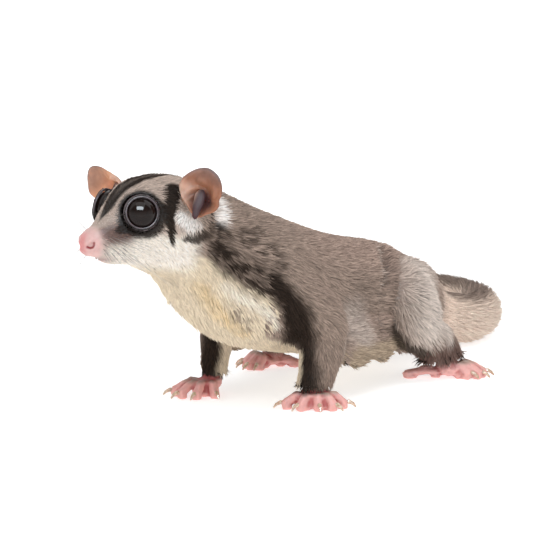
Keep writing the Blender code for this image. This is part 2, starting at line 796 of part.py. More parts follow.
def membrane(side, forward_end, rear_end, outline, front_droop=0.0):
    """The loose gliding skin that hangs along a flank in shallow scallops.

    front_droop is how much lower its hem is at the wrist than further back.
    """
    columns, rows = 13, 4
    points = []
    for column in range(columns):
        share = column / (columns - 1)
        y = forward_end + (rear_end - forward_end) * share
        scallop = 1.2 * math.cos(share * 5 * math.pi)
        hem = MEMBRANE_HEM + scallop - 1.4 * math.sin(share * math.pi)
        hem -= front_droop * (1 - share) ** 2
        swell = 1.6 * math.sin(share * math.pi)
        for row in range(rows):
            drop = row / (rows - 1)
            x = MEMBRANE_INSET + swell + MEMBRANE_FLARE * math.sin(drop * math.pi / 2)
            points.append((side * x, y, MEMBRANE_TOP + (hem - MEMBRANE_TOP) * drop))
    faces = []
    for column in range(columns - 1):
        for row in range(rows - 1):
            corner = column * rows + row
            faces.append((corner, corner + 1, corner + rows + 1))
            faces.append((corner, corner + rows + 1, corner + rows))
    made = mesh_object("membrane", points, faces)
    wall = made.modifiers.new("wall", "SOLIDIFY")
    wall.thickness = MEMBRANE_THICKNESS * MM
    wall.offset = 0
    settle(made)
    face_outwards(made)
    return clear_of(made, outline)


def tail_place(course, along, angle, share):
    """A point round the tail: how far along it, which way round, and its share of the coat."""
    along = min(max(along, 0), len(course) - 1.001)
    row = int(along)
    part = along - row
    centre = Vector((course[row] * (1 - part) + course[row + 1] * part)[:3])
    radius = course[row][3] * (1 - part) + course[row + 1][3] * part
    way = Vector((course[row + 1] - course[row])[:3]).normalized()
    side = way.cross(UP).normalized()
    outward = side * math.cos(angle) + side.cross(way) * math.sin(angle)
    return centre + outward * (radius * share), outward, way.cross(outward)


def lock(course, start, angle, length, width, twist):
    """One flat tapered lock that follows the tail's curve, its root sunk in the core."""
    points = []
    for share, half in LOCK_SHAPE:
        turn = angle + twist * share
        depth = CORE_SHARE - LOCK_SINK / TAIL_RADIUS
        level = depth + (1 - depth - LOCK_THICKNESS / 2 / TAIL_RADIUS) * share ** 0.62
        centre, outward, across = tail_place(course, start + length * share, turn, level)
        thick = LOCK_THICKNESS / 2 * (1.1 - share * 0.4)
        points += [centre + across * (width * half), centre + outward * thick,
                   centre - across * (width * half), centre - outward * thick]
    points.append(tail_place(course, start + length, angle + twist, 1.0)[0])
    faces = [(0, 1, 2), (0, 2, 3)]
    for ring in (0, 4):
        for corner in range(4):
            after = (corner + 1) % 4
            faces.append((ring + corner, ring + corner + 4, ring + after + 4))
            faces.append((ring + corner, ring + after + 4, ring + after))
    for corner in range(4):
        faces.append((8 + corner, 12, 8 + (corner + 1) % 4))
    made = mesh_object("lock", points, faces)
    face_outwards(made)
    return made


def coated(core, course):
    """The core of the tail with its locks joined on, in one union."""
    draw = random.Random(7)
    locks = collection("locks")
    gaps = [(Vector(b[:3]) - Vector(a[:3])).length for a, b in zip(course, course[1:])]
    step = sum(gaps) / len(gaps)
    ring, start = 0, 0.0
    while start * step < sum(gaps) - LOCK_LENGTH * 0.55:
        sweep = draw.uniform(-0.16, 0.16)
        for number in range(LOCKS_ROUND):
            angle = math.tau * (number + 0.5 * (ring % 2) + draw.uniform(-0.03, 0.03)) / LOCKS_ROUND
            shift = draw.uniform(-0.1, 0.1) * RING_SPACING / step
            length = LOCK_LENGTH * draw.uniform(0.9, 1.12) / step
            thin_end = course[min(int(start + length / 2), len(course) - 1)][3] / TAIL_RADIUS
            width = LOCK_WIDTH * draw.uniform(0.92, 1.04) * thin_end
            twist = sweep + draw.uniform(-0.03, 0.03)
            made = lock(course, start + shift, angle, length, width, twist)
            HELPERS.objects.unlink(made)
            locks.objects.link(made)
        start += RING_SPACING / step
        ring += 1
    joint = core.modifiers.new("locks", "BOOLEAN")
    joint.operation = "UNION"
    joint.operand_type = "COLLECTION"
    joint.collection = locks
    joint.solver = "MANIFOLD"
    settle(core)
    for made in list(locks.objects):
        remove(made)
    bpy.data.collections.remove(locks)
    return largest(core)


def tail_nodes():
    """The tail beyond its root, in lengths."""
    course = smooth_rows(TAIL_ROUTE, 3)
    lie = [(*row[:3], row[3] * CORE_SHARE, row[3] * CORE_SHARE) for row in TAIL_ROUTE]
    whole = coated(loft("tail", lie, TAIL_SIDES, 1), course)
    floor = disc((-30, 100, -10), UP, 120, 20 * MM)
    combine(whole, floor, "DIFFERENCE")
    remove(floor)
    nodes = {}
    smooth = smooth_rows(TAIL_ROUTE, 2)
    starts = [int(len(smooth) * share) for share in (0.24, 0.48, 0.72)]
    places = [(smooth[start][:3], smooth[start + 1][:3] - smooth[start - 1][:3]) for start in starts]
    whole = keep_beyond(whole, TAIL_CUT, TAIL_WAY, 30)
    for number, (centre, direction) in enumerate(places):
        first, second = part_at(whole, centre, direction, 20)
        pair = sorted((first, second), key=lambda piece: (middle(piece) / MM - TAIL_CUT).length)
        nodes["tail_" + str(number + 1)] = pair[0]
        whole = pair[1]
    nodes["tail_" + str(len(places) + 1)] = whole
    return nodes


def middle(made):
    """The mean of a mesh's corners."""
    corners = [corner.co for corner in made.data.vertices]
    return sum(corners, Vector()) / len(corners)


LOOKS = {
    "head": FUR_GREY, "neck": FUR_GREY, "torso": FUR_GREY, "nose": SKIN_PINK,
    "eye": EYE_BLACK, "ear": SKIN_EAR, "upper": FUR_GREY, "forearm": FUR_DARK,
    "thigh": FUR_GREY, "shin": FUR_DARK, "hand": SKIN_PINK, "foot": SKIN_PINK,
    "claw": HORN_CLAW, "membrane": FUR_CREAM, "tail": FUR_TAIL,
}


def build():
    """Make every part of the animal and stand it over the origin."""
    nodes, outline = body_nodes()
    remove(nodes.pop("tail_root"))
    nodes.update(tail_nodes())
    nodes.update(head_nodes())
    nodes["membrane_left"] = membrane(1, 11, 47, outline)
    nodes["membrane_right"] = membrane(-1, 4, 40, outline, front_droop=6.0)
    remove(outline)
    for kind, sizes in (("hand", HANDS), ("foot", FEET)):
        for side, shape in sizes.items():
            made, claws = paw(**shape)
            nodes[kind + "_" + side] = made
            for number, claw in enumerate(claws):
                digit = number + 1 if kind == "hand" else number + 2
                nodes["claw_" + kind + "_" + side + "_" + str(digit)] = claw
    low = Vector((min(c.co[axis] for n in nodes.values() for c in n.data.vertices)
                  for axis in range(3)))
    high = Vector((max(c.co[axis] for n in nodes.values() for c in n.data.vertices)
                   for axis in range(3)))
    shift = Vector(((low.x + high.x) / -2, (low.y + high.y) / -2, -low.z))
    for name, made in nodes.items():
        made.data.transform(Matrix.Translation(shift))
        finish(made, name, LOOKS[name.split("_")[0]])


build()
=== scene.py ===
import math

import bmesh
import bpy
import numpy as np
from mathutils import Matrix, Vector
from mathutils.bvhtree import BVHTree


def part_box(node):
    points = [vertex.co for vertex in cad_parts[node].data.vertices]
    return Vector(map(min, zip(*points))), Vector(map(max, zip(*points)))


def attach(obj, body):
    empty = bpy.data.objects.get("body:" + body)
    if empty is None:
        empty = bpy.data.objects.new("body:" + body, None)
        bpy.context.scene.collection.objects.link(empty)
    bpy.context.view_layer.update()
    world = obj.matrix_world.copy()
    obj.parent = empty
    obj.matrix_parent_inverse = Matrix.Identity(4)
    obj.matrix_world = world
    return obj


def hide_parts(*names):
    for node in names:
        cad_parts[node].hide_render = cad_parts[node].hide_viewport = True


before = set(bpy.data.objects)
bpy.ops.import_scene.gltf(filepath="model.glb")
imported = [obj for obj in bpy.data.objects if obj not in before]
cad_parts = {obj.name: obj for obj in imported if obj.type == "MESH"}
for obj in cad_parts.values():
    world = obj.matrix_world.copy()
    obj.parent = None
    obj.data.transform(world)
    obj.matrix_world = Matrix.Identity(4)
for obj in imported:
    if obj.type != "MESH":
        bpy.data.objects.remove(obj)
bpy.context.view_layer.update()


# The body's skin
# One skin lies under the whole coat and is bare on the nose, hands and feet. It is closed
# over the parts of the body, drawn inwards by the coat's depth and smoothed.

MM = 0.001
UP = np.array([0.0, 0.0, 1.0])
NOSE_TIP = np.array([-12.0, -67.0, 56.1])
HEAD_TURN = math.radians(16)
HEAD_BACK = np.array([math.sin(HEAD_TURN), math.cos(HEAD_TURN), 0.0])
HEAD_LEFT = np.array([math.cos(HEAD_TURN), -math.sin(HEAD_TURN), 0.0])
EYE_BACK, EYE_OUT, EYE_UP = 15.2, 7.0, 7.6
EYE_RADIUS = 4.9

TAIL_ROUTE = [
    (0.6, 74.0, 18.5, 9.0), (2.2, 82.0, 16.8, 9.8), (5.0, 91.0, 14.0, 9.6),
    (8.4, 100.0, 11.0, 9.4), (10.2, 109.0, 9.2, 9.3), (9.2, 118.5, 8.7, 9.2),
    (4.6, 127.0, 8.7, 9.2), (-3.6, 133.4, 8.7, 9.2), (-14.4, 137.2, 8.7, 9.2),
    (-26.6, 138.2, 8.7, 9.2), (-39.0, 136.2, 8.6, 9.1), (-51.0, 131.2, 8.5, 9.0),
    (-61.4, 123.2, 8.4, 8.9), (-68.8, 112.6, 8.1, 8.6), (-71.8, 100.0, 7.6, 8.1),
    (-70.8, 87.6, 6.6, 7.1), (-67.4, 77.0, 5.2, 5.7), (-64.0, 70.0, 3.4, 3.9),
]
TAIL_CORES = [(0.0, 0.92), (0.1, 0.84), (0.26, 0.66), (0.9, 0.68), (1.0, 0.6)]
JOIN_GROWTH = 0.22
SKIN_VOXEL = 0.42
SKIN_TRIANGLES = 168000

FLESH = ["head", "nose", "neck", "torso"]
for side in ("left", "right"):
    for part in ("upper_arm_", "forearm_", "hand_", "thigh_", "shin_", "foot_", "membrane_"):
        FLESH.append(part + side)
TAILS = ["tail_1", "tail_2", "tail_3", "tail_4"]


def head_spot(back, left, up):
    """A spot of the head in the animal's millimetres, measured from the tip of the nose."""
    return NOSE_TIP + HEAD_BACK * back + HEAD_LEFT * left + UP * up


eye_low, eye_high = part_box("eye_left")
SHIFT = np.array((eye_low + eye_high) / 2) / MM - head_spot(EYE_BACK, EYE_OUT, EYE_UP)


def at(spot):
    """A spot in the animal's millimetres as a place in the scene."""
    return Vector((np.array(spot) + SHIFT) * MM)


def spots(made):
    """A mesh's points in the animal's millimetres."""
    flat = np.empty(len(made.data.vertices) * 3)
    made.data.vertices.foreach_get("co", flat)
    return flat.reshape(-1, 3) / MM - SHIFT


def put(made, points):
    """Move a mesh's points to spots in the animal's millimetres."""
    made.data.vertices.foreach_set("co", ((points + SHIFT) * MM).ravel())
    made.data.update()


def normals(made):
    """A mesh's outward directions at its points."""
    flat = np.empty(len(made.data.vertices) * 3)
    made.data.vertices.foreach_get("normal", flat)
    return flat.reshape(-1, 3)


def unit(rows):
    """Rows of numbers as directions."""
    return rows / np.maximum(np.linalg.norm(rows, axis=-1, keepdims=True), 1e-9)


def smooth_step(value, low, high):
    """0 below low, 1 above high, and a smooth rise between."""
    t = np.clip((value - low) / (high - low), 0, 1)
    return t * t * (3 - 2 * t)


def smooth_route(rows, steps):
    """A route with more rows between its own, on a smooth curve through them."""
    rows = np.array(rows, dtype=float)
    ends = np.vstack([2 * rows[0] - rows[1], rows, 2 * rows[-1] - rows[-2]])
    route = []
    for index in range(len(rows) - 1):
        before, start, end, after = ends[index:index + 4]
        for t in np.arange(steps) / steps:
            route.append(0.5 * (2 * start + (end - before) * t
                                + (2 * before - 5 * start + 4 * end - after) * t * t
                                + (3 * start - before - 3 * end + after) * t ** 3))
    route.append(rows[-1])
    return np.array(route)


def only(made):
    """Select one object and nothing else."""
    bpy.ops.object.select_all(action="DESELECT")
    made.select_set(True)
    bpy.context.view_layer.objects.active = made


def apply(made, kind, **values):
    """Add a modifier with its values and apply it."""
    change = made.modifiers.new(kind.lower(), kind)
    for name, value in values.items():
        setattr(change, name, value)
    only(made)
    bpy.ops.object.modifier_apply(modifier=change.name)


def mesh_piece(name, points, faces, smooth=True):
    """A new object from points in the animal's millimetres."""
    mesh = bpy.data.meshes.new(name)
    mesh.from_pydata(((np.array(points) + SHIFT) * MM).tolist(), [], faces)
    mesh.update()
    if smooth:
        mesh.shade_smooth()
    made = bpy.data.objects.new(name, mesh)
    bpy.context.scene.collection.objects.link(made)
    return made


def face_outwards(made):
    """Turn every face of a mesh outwards."""
    work = bmesh.new()
    work.from_mesh(made.data)
    bmesh.ops.recalc_face_normals(work, faces=work.faces)
    work.to_mesh(made.data)
    work.free()


def rounded_tube(name, rows, sides, flat=1.0, broad=None):
    """A closed tube along rows of x, y, z and radius, flat across its broad way, with rounded ends."""
    rows = np.array(rows, dtype=float)
    ways = unit(np.gradient(rows[:, :3], axis=0))
    side = unit(np.cross(ways, UP + 1e-4))
    if broad is not None:
        side = unit(broad - ways * (ways @ broad)[:, None])
    over = np.cross(side, ways)
    angles = np.arange(sides) / sides * math.tau
    points = []
    for row, one, two in zip(rows, side, over):
        for angle in angles:
            points.append(row[:3] + row[3] * (one * math.cos(angle) + two * math.sin(angle) * flat))
    last = len(points)
    points.append(rows[0, :3] - ways[0] * rows[0, 3] * 0.5)
    points.append(rows[-1, :3] + ways[-1] * rows[-1, 3] * 0.8)
    faces = []
    for ring in range(len(rows) - 1):
        for corner in range(sides):
            here, after = ring * sides + corner, ring * sides + (corner + 1) % sides
            faces.append((here, after, after + sides, here + sides))
    for corner in range(sides):
        faces.append((last, (corner + 1) % sides, corner))
        top = (len(rows) - 1) * sides
        faces.append((last + 1, top + corner, top + (corner + 1) % sides))
    made = mesh_piece(name, points, faces)
    face_outwards(made)
    return made


tail_rows = smooth_route(TAIL_ROUTE, 4)
core_rows = tail_rows.copy()
core_rows[:, 3] *= np.interp(np.linspace(0, 1, len(core_rows)), *zip(*TAIL_CORES))
skin = rounded_tube("skin", core_rows, 20)

parts = []
for name in FLESH:
    part = bpy.data.objects.new(name + "_copy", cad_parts[name].data.copy())
    bpy.context.scene.collection.objects.link(part)
    work = bmesh.new()
    work.from_mesh(part.data)
    bmesh.ops.remove_doubles(work, verts=work.verts, dist=0.00001)
    work.to_mesh(part.data)
    work.free()
    apply(part, "DISPLACE", strength=JOIN_GROWTH * MM, mid_level=0.0)
    parts.append(part)

labelled = []
label_faces = []
label_names = []
start = 0
for name, part in zip(FLESH, parts):
    labelled.extend(vertex.co.copy() for vertex in part.data.vertices)
    for face in part.data.polygons:
        label_faces.append([start + corner for corner in face.vertices])
        label_names.append(name)
    start += len(part.data.vertices)
body_tree = BVHTree.FromPolygons(labelled, label_faces)

only(skin)
for part in parts:
    part.select_set(True)
bpy.ops.object.join()
apply(skin, "REMESH", mode="VOXEL", voxel_size=SKIN_VOXEL * MM)
apply(skin, "SMOOTH", factor=0.5, iterations=5)

# How deep the coat is at each part, in millimetres
DEPTHS = {
    "nose": 0.0, "head": 0.55, "neck": 1.1, "torso": 1.15, "membrane": 0.7,
    "upper": 1.0, "forearm": 0.7, "hand": 0.0, "thigh": 1.0, "shin": 0.7, "foot": 0.0,
}


def nearest_parts(points):
    """The name of the body part nearest to each spot."""
    found = []
    for spot in points:
        place, normal, index, gap = body_tree.find_nearest(at(spot))
        found.append(label_names[index])
    return np.array(found)


def eased(made, values, rounds):
    """Values at a mesh's points, averaged with their neighbours."""
    ends = np.empty(len(made.data.edges) * 2, dtype=np.int64)
    made.data.edges.foreach_get("vertices", ends)
    first, second = ends.reshape(-1, 2).T
    count = np.bincount(first, minlength=len(values)) + np.bincount(second, minlength=len(values))
    shape = (-1,) + (1,) * (values.ndim - 1)
    for _ in range(rounds):
        total = np.zeros_like(values)
        np.add.at(total, first, values[second])
        np.add.at(total, second, values[first])
        values = 0.4 * values + 0.6 * total / np.maximum(count, 1).reshape(shape)
    return values


def tail_part(points):
    """1 on the free part of the tail and 0 on the rest of the body."""
    gap = np.min([np.linalg.norm(points - row[:3], axis=1) - row[3] for row in tail_rows], axis=0)
    return np.maximum(smooth_step(points[:, 1], 84, 92), points[:, 0] < -48) * (gap < 1.5)


# Where the tail joins the trunk: the join starts, is full, eases off and ends, and its side
JOIN_START, JOIN_FULL, JOIN_LESS, JOIN_END = 76, 81, 94, 104
JOIN_RIGHT = -30
JOIN_ROUNDS, DEPTH_ROUNDS = 60, 14

apply(skin, "DECIMATE", ratio=min(1.0, SKIN_TRIANGLES / (len(skin.data.polygons) * 2)),
      use_collapse_triangulate=True)
points = spots(skin)
names = nearest_parts(points)
on_tail = tail_part(points)
depth = np.array([DEPTHS[name.split("_")[0]] for name in names])
depth = eased(skin, depth, DEPTH_ROUNDS)
depth = depth * (1 - on_tail)
points = points - normals(skin) * (depth + JOIN_GROWTH)[:, None]
joint = smooth_step(points[:, 1], JOIN_START, JOIN_FULL) * smooth_step(-points[:, 1], -JOIN_END, -JOIN_LESS)
joint = (joint * (points[:, 0] > JOIN_RIGHT))[:, None]
points = points * (1 - joint) + eased(skin, points, JOIN_ROUNDS) * joint
put(skin, points)
apply(skin, "SMOOTH", factor=0.4, iterations=2)

# The nose is finer than the rest, so that its nostrils and the mouth can be shaped. Their
# lines are spots back, out and up from the tip of the nose, seen along the cheek.
NOSTRIL = [(1.0, 1.8, -1.0), (1.4, 2.4, -1.2), (1.9, 2.95, -1.0), (2.1, 3.25, -0.4), (2.1, 3.3, 0.3)]
MOUTH = [(3.2, 0.0, -4.6), (4.6, 1.2, -5.0), (6.5, 3.6, -4.7), (9.0, 5.6, -4.6), (12.0, 7.4, -4.8)]
CHEEK_WAY = np.array([-0.633, 0.754, 0.174])
FINE_NOSE = 7.5
work = bmesh.new()
work.from_mesh(skin.data)
near_nose = []
for edge in work.edges:
    off = np.array((edge.verts[0].co + edge.verts[1].co) / 2) / MM - SHIFT - NOSE_TIP
    if off @ HEAD_BACK < FINE_NOSE:
        near_nose.append(edge)
bmesh.ops.subdivide_edges(work, edges=near_nose, cuts=2, use_grid_fill=True)
bmesh.ops.triangulate(work, faces=work.faces)
work.to_mesh(skin.data)
work.free()


def from_line(points, line, seen=None):
    """How far each spot is from a line of spots, as seen one way, and how far along it."""
    line = np.array(line, dtype=float)
    if seen is not None:
        points = points - np.outer(points @ seen, seen)
        line = line - np.outer(line @ seen, seen)
    best = np.full(len(points), 999.0)
    along = np.zeros(len(points))
    for index in range(len(line) - 1):
        start, way = line[index], line[index + 1] - line[index]
        t = np.clip((points - start) @ way / (way @ way), 0, 1)
        gap = np.linalg.norm(points - start - t[:, None] * way, axis=1)
        along = np.where(gap < best, (index + t) / (len(line) - 1), along)
        best = np.minimum(best, gap)
    return best, along


# The folds where the gliding skin meets the haunch and where the haunch meets the rump, the
# same on both sides
FOLD = np.array([(10.5, 52.8, 42.2), (17.5, 43.5, 38.2), (22.2, 36.6, 31.1), (23.2, 33.3, 21.2)])
RUMP = np.array([(24.6, 58.2, 36.4), (27.2, 59.6, 33.0), (28.8, 62.0, 28.0)])


def mirrored_head(points):
    """Spots as back, out to either side, and up from the tip of the nose."""
    off = points - NOSE_TIP
    return np.stack([off @ HEAD_BACK, np.abs(off @ HEAD_LEFT), off[:, 2]], axis=1)


def ridge(gap, wide):
    """1 on a line and less away from it, at a width in millimetres."""
    return np.exp(-(gap / wide) ** 2)


# The nose is smoothed, most at its tip, which is blunt
SOFT_NOSE, SOFT_TIP = 7.2, 3.5
BLUNT_FROM, BLUNT_SHARE = 1.3, 0.5
points = spots(skin)
spot = mirrored_head(points)
for _ in range(3):
    points = np.where((spot[:, :1] < SOFT_NOSE), eased(skin, points, 1), points)
blunt = np.maximum(BLUNT_FROM - (points - NOSE_TIP) @ HEAD_BACK, 0) * BLUNT_SHARE
points = points + np.outer(blunt, HEAD_BACK)
for _ in range(5):
    points = np.where((spot[:, :1] < SOFT_TIP), eased(skin, points, 1), points)
put(skin, points)

# Each nostril is a curved dent with a raised rim, over a groove down the tip, and the mouth
# is a shallow line between soft lips
NOSTRIL_DEPTH, NOSTRIL_RIM, GROOVE_DEPTH = 0.9, 0.22, 0.12
MOUTH_DEPTH, LIP_SWELL = 0.42, 0.10
spot = mirrored_head(points)
gap, along = from_line(spot, NOSTRIL, CHEEK_WAY)
wide = 0.42 - 0.12 * along
dent = -NOSTRIL_DEPTH * (1 - 0.45 * along) * ridge(gap, wide) * (spot[:, 1] > 0.5)
dent += NOSTRIL_RIM * ridge(gap - 1.25, 0.5) * (spot[:, 0] < 5)
dent -= GROOVE_DEPTH * ridge(spot[:, 1], 0.4) * (spot[:, 2] < 0.6) * smooth_step(-spot[:, 0], -5, -1)
gap, along = from_line(spot, MOUTH, CHEEK_WAY)
dent -= MOUTH_DEPTH * ridge(gap, 0.42)
dent += LIP_SWELL * ridge(gap - 0.9, 0.4)
put(skin, points + normals(skin) * dent[:, None])

# The digits and pads stand out more than the join of the parts leaves them
HAND_TOP, HAND_FADE = 6.8, 1.5
SHARPER = 1.3
LOWEST = 0.03
points = spots(skin)
outward = normals(skin)
hollow = ((eased(skin, points, 8) - points) * outward).sum(axis=1)
low = smooth_step(HAND_TOP - points[:, 2], 0, HAND_FADE) * (1 - tail_part(points))
points = points - outward * (np.clip(hollow, -0.25, 0.4) * SHARPER * low)[:, None]
points[:, 2] = np.maximum(points[:, 2], LOWEST)

# Behind the toes of each hind foot the sole is long and flat
HIND_TOES = ((43.0, 64.0), (-31.0, 32.0))
SOLE_STARTS, SOLE_FULL, SOLE_ENDS = 8, 15, 34
HEIGHTS, FLAT_HEIGHTS = (0, 5.4, 10.0, 99.0), (0, 3.1, 10.0, 99.0)
names = nearest_parts(points)
feet = np.char.startswith(names, "foot") | np.char.startswith(names, "shin")
behind_toes = np.zeros(len(points))
for toes in HIND_TOES:
    gap = np.linalg.norm(points[:, :2] - toes, axis=1)
    behind_toes = np.maximum(behind_toes, smooth_step(gap, SOLE_STARTS, SOLE_FULL) * (gap < SOLE_ENDS))
flatter = np.interp(points[:, 2], HEIGHTS, FLAT_HEIGHTS) - points[:, 2]
points[:, 2] += flatter * behind_toes * feet

# The folds of the flanks are pressed in, and the haunch swells behind its fold
FOLD_DEPTH, RUMP_DEPTH, HAUNCH_SWELL = 1.5, 2.3, 0.7
sided = np.stack([np.abs(points[:, 0]), points[:, 1], points[:, 2]], axis=1)
gap, along = from_line(sided, FOLD)
press = -FOLD_DEPTH * ridge(gap, 1.5) * smooth_step(along, 0.02, 0.3)
gap, along = from_line(sided, FOLD + np.array([0, 4.5, 0]))
press += HAUNCH_SWELL * ridge(gap, 2.4)
gap, along = from_line(sided, RUMP)
press -= RUMP_DEPTH * ridge(gap, 5.0)
points = points + outward * press[:, None]
put(skin, points)
points = spots(skin)
outward = normals(skin)


# The coat's colours
# The short coat is grizzled grey-brown above and cream below, with a dark stripe down the
# head and back, dark rings round the eyes and a dark band from each ear down the fore leg.

def shade(red, green, blue):
    """A colour seen on a screen as a light's strength."""
    value = np.array([red, green, blue]) / 255
    return np.where(value <= 0.04045, value / 12.92, ((value + 0.055) / 1.055) ** 2.4)


GREY = shade(152, 134, 122)
LIT_BACK_BROWN = shade(166, 144, 132)
PALE_GREY = shade(206, 194, 185)
CREAM = shade(224, 207, 182)
YELLOW = shade(214, 182, 128)
DARK = shade(28, 18, 11)
PALE_FACE = shade(198, 180, 168)
CHEEK = shade(248, 238, 226)
WHITE = shade(255, 248, 243)
PALE_EDGE = shade(238, 228, 214)
MUZZLE = shade(112, 84, 76)
NOSE_PINK = shade(208, 170, 166)
NOSE_RED = shade(202, 122, 122)
NOSTRIL_RED = shade(140, 24, 32)
HAND_PINK = shade(222, 166, 160)
SHADED_CREASE_RED = shade(176, 84, 82)
TAIL_BUFF = shade(232, 210, 194)
TAIL_DARK = shade(84, 66, 58)
ANKLE = shade(96, 72, 66)


def patches(points, size, seed):
    """Smooth random values from 0 to 1, in patches of about one size in millimetres."""
    cell = points / size
    base = np.floor(cell).astype(np.int64)
    part = cell - base
    part = part * part * (3 - 2 * part)
    total = np.zeros(len(points))
    for corner in range(8):
        step = np.array([corner & 1, corner >> 1 & 1, corner >> 2 & 1])
        mark = (base + step) @ np.array([73856093, 19349663, 83492791]) + seed * 1013904223
        mark = (mark ^ (mark >> 13)) * 1274126177
        value = ((mark ^ (mark >> 16)) & 0xFFFF) / 65535
        weight = np.prod(np.where(step, part, 1 - part), axis=1)
        total += value * weight
    return total


def stroke(points, line, reach, edge=0.35):
    """1 along a line of spots, fading out at a reach that may change along it."""
    line = np.array(line, dtype=float)
    reach = np.broadcast_to(np.array(reach, dtype=float), len(line))
    best = np.full(len(points), 9.0)
    for index in range(len(line) - 1):
        start, way = line[index], line[index + 1] - line[index]
        t = np.clip((points - start) @ way / (way @ way), 0, 1)
        gap = np.linalg.norm(points - start - t[:, None] * way, axis=1)
        best = np.minimum(best, gap / (reach[index] * (1 - t) + reach[index + 1] * t))
    return 1 - smooth_step(best, 1 - edge, 1 + edge)


def ball_of(points, centre, reach, edge=0.35):
    """1 round a spot, fading out at its reach."""
    gap = np.linalg.norm(points - np.array(centre), axis=1) / reach
    return 1 - smooth_step(gap, 1 - edge, 1 + edge)


def mix(colour, other, share):
    """A share of one colour laid over another."""
    share = np.clip(share, 0, 1)[:, None]
    return colour * (1 - share) + other * share


class Lay:
    """The spots to be coloured, measured in the ways that the marks need."""

    def __init__(self, points, outward, names):
        self.points, self.outward, self.names = points, outward, names
        self.x, self.y, self.z = points.T
        off = points - NOSE_TIP
        self.back, self.up = off @ HEAD_BACK, off[:, 2]
        self.out = np.abs(off @ HEAD_LEFT)
        self.head = np.stack([self.back, self.out, self.up], axis=1)
        self.sided = np.stack([np.abs(self.x), self.y, self.z], axis=1)
        self.wobble = (patches(points, 2.2, 1) - 0.5) * 1.6 + (patches(points, 0.9, 2) - 0.5) * 0.9

    def part(self, kind):
        """Whether each spot is on a kind of body part."""
        return np.char.startswith(self.names, kind)


# How high the cream of the underside reaches, along the body
CREAM_ALONG = (-46, -38, -30, -18, -12, -6, 4, 30, 60)
CREAM_TOP = (54, 51, 45.5, 37.5, 32.5, 24, 16, 14, 14)
PALE_FLANK = [(21.0, 19.0, 25.0), (23.0, 22.0, 19.0)]
PALE_THIGH = [(27.0, 52.0, 31.0), (32.0, 50.0, 22.0)]
THROAT = [(6.0, -38.0, 42.0), (7.5, -30.0, 34.0), (8.5, -20.0, 27.0)]


def trunk_colours(lay):
    """Grey-brown above and cream below, a yellow throat and a dark stripe down the back."""
    facing_up = lay.outward[:, 2]
    colour = np.broadcast_to(GREY, lay.points.shape)
    # Surfaces that face up are browner and lighter: a browner back, with a painted light on its lit top
    colour = mix(colour, LIT_BACK_BROWN, smooth_step(facing_up, 0.1, 0.8) * smooth_step(lay.y, -20, 30))
    pale = np.maximum(stroke(lay.sided, PALE_FLANK, (6.0, 5.0), 0.6),
                      stroke(lay.sided, PALE_THIGH, (8.0, 7.5), 0.8))
    colour = mix(colour, PALE_GREY, 0.48 * pale)

    below = smooth_step(np.interp(lay.y, CREAM_ALONG, CREAM_TOP) - lay.z + lay.wobble, -0.6, 1.6)
    under = smooth_step(-facing_up + lay.wobble * 0.08, 0.15, 0.5) * smooth_step(-lay.y, -76, -60)
    trunk = np.isin(lay.names, ("torso", "neck", "head"))
    colour = mix(colour, CREAM, np.maximum(below * (lay.y < 4), under) * trunk)
    throat = stroke(lay.points, THROAT, (2.4, 3.0, 2.0), 0.7)
    colour = mix(colour, YELLOW, 0.42 * throat * (0.5 + patches(lay.points * (1, 0.4, 0.6), 1.6, 5)))

    stripe = smooth_step(3.8 - lay.sided[:, 0] + lay.wobble, 0, 2.4) * smooth_step(facing_up, 0.5, 0.9)
    return mix(colour, DARK, 0.42 * stripe * smooth_step(lay.y, -44, -30) * smooth_step(-lay.y, -66, -46))


# Marks of the head, as spots back, out and up from the tip of the nose
CROWN_ALONG = (6.0, 9, 14, 20, 24, 28, 46)
CROWN_HALF = (0.2, 1.9, 2.7, 3.3, 2.7, 1.7, 1.6)
MUZZLE_MARK = [(9.8, 6.6, 2.8), (7.0, 5.2, 2.2), (5.2, 4.0, 2.8)]
EYE_RING, EYE_RING_DROP = 6.65, 0.3
EYE_FRONT = [(10.4, 5.6, 4.2), (8.8, 5.0, 3.0)]
BEHIND_EYE = [(24.2, 9.4, 13.6), (23.2, 10.8, 11.4), (22.0, 11.5, 8.0), (21.3, 12.1, 3.6), (21.5, 12.2, -1.6)]
WHITE_BEFORE_EAR = [(25.4, 13.5, 6.4), (28.0, 14.5, 4.6), (30.5, 14.6, 4.0)]
WHITE_BEHIND_EAR = [(40.0, 6.0, 10.8), (40.5, 9.5, 8.0), (39.0, 12.5, 4.8), (36.4, 14.2, 2.6)]
UNDER_EAR = [(25.0, 13.2, 1.2), (29.0, 14.2, 0.6), (33.0, 14.5, 1.6), (35.2, 14.0, 4.2)]


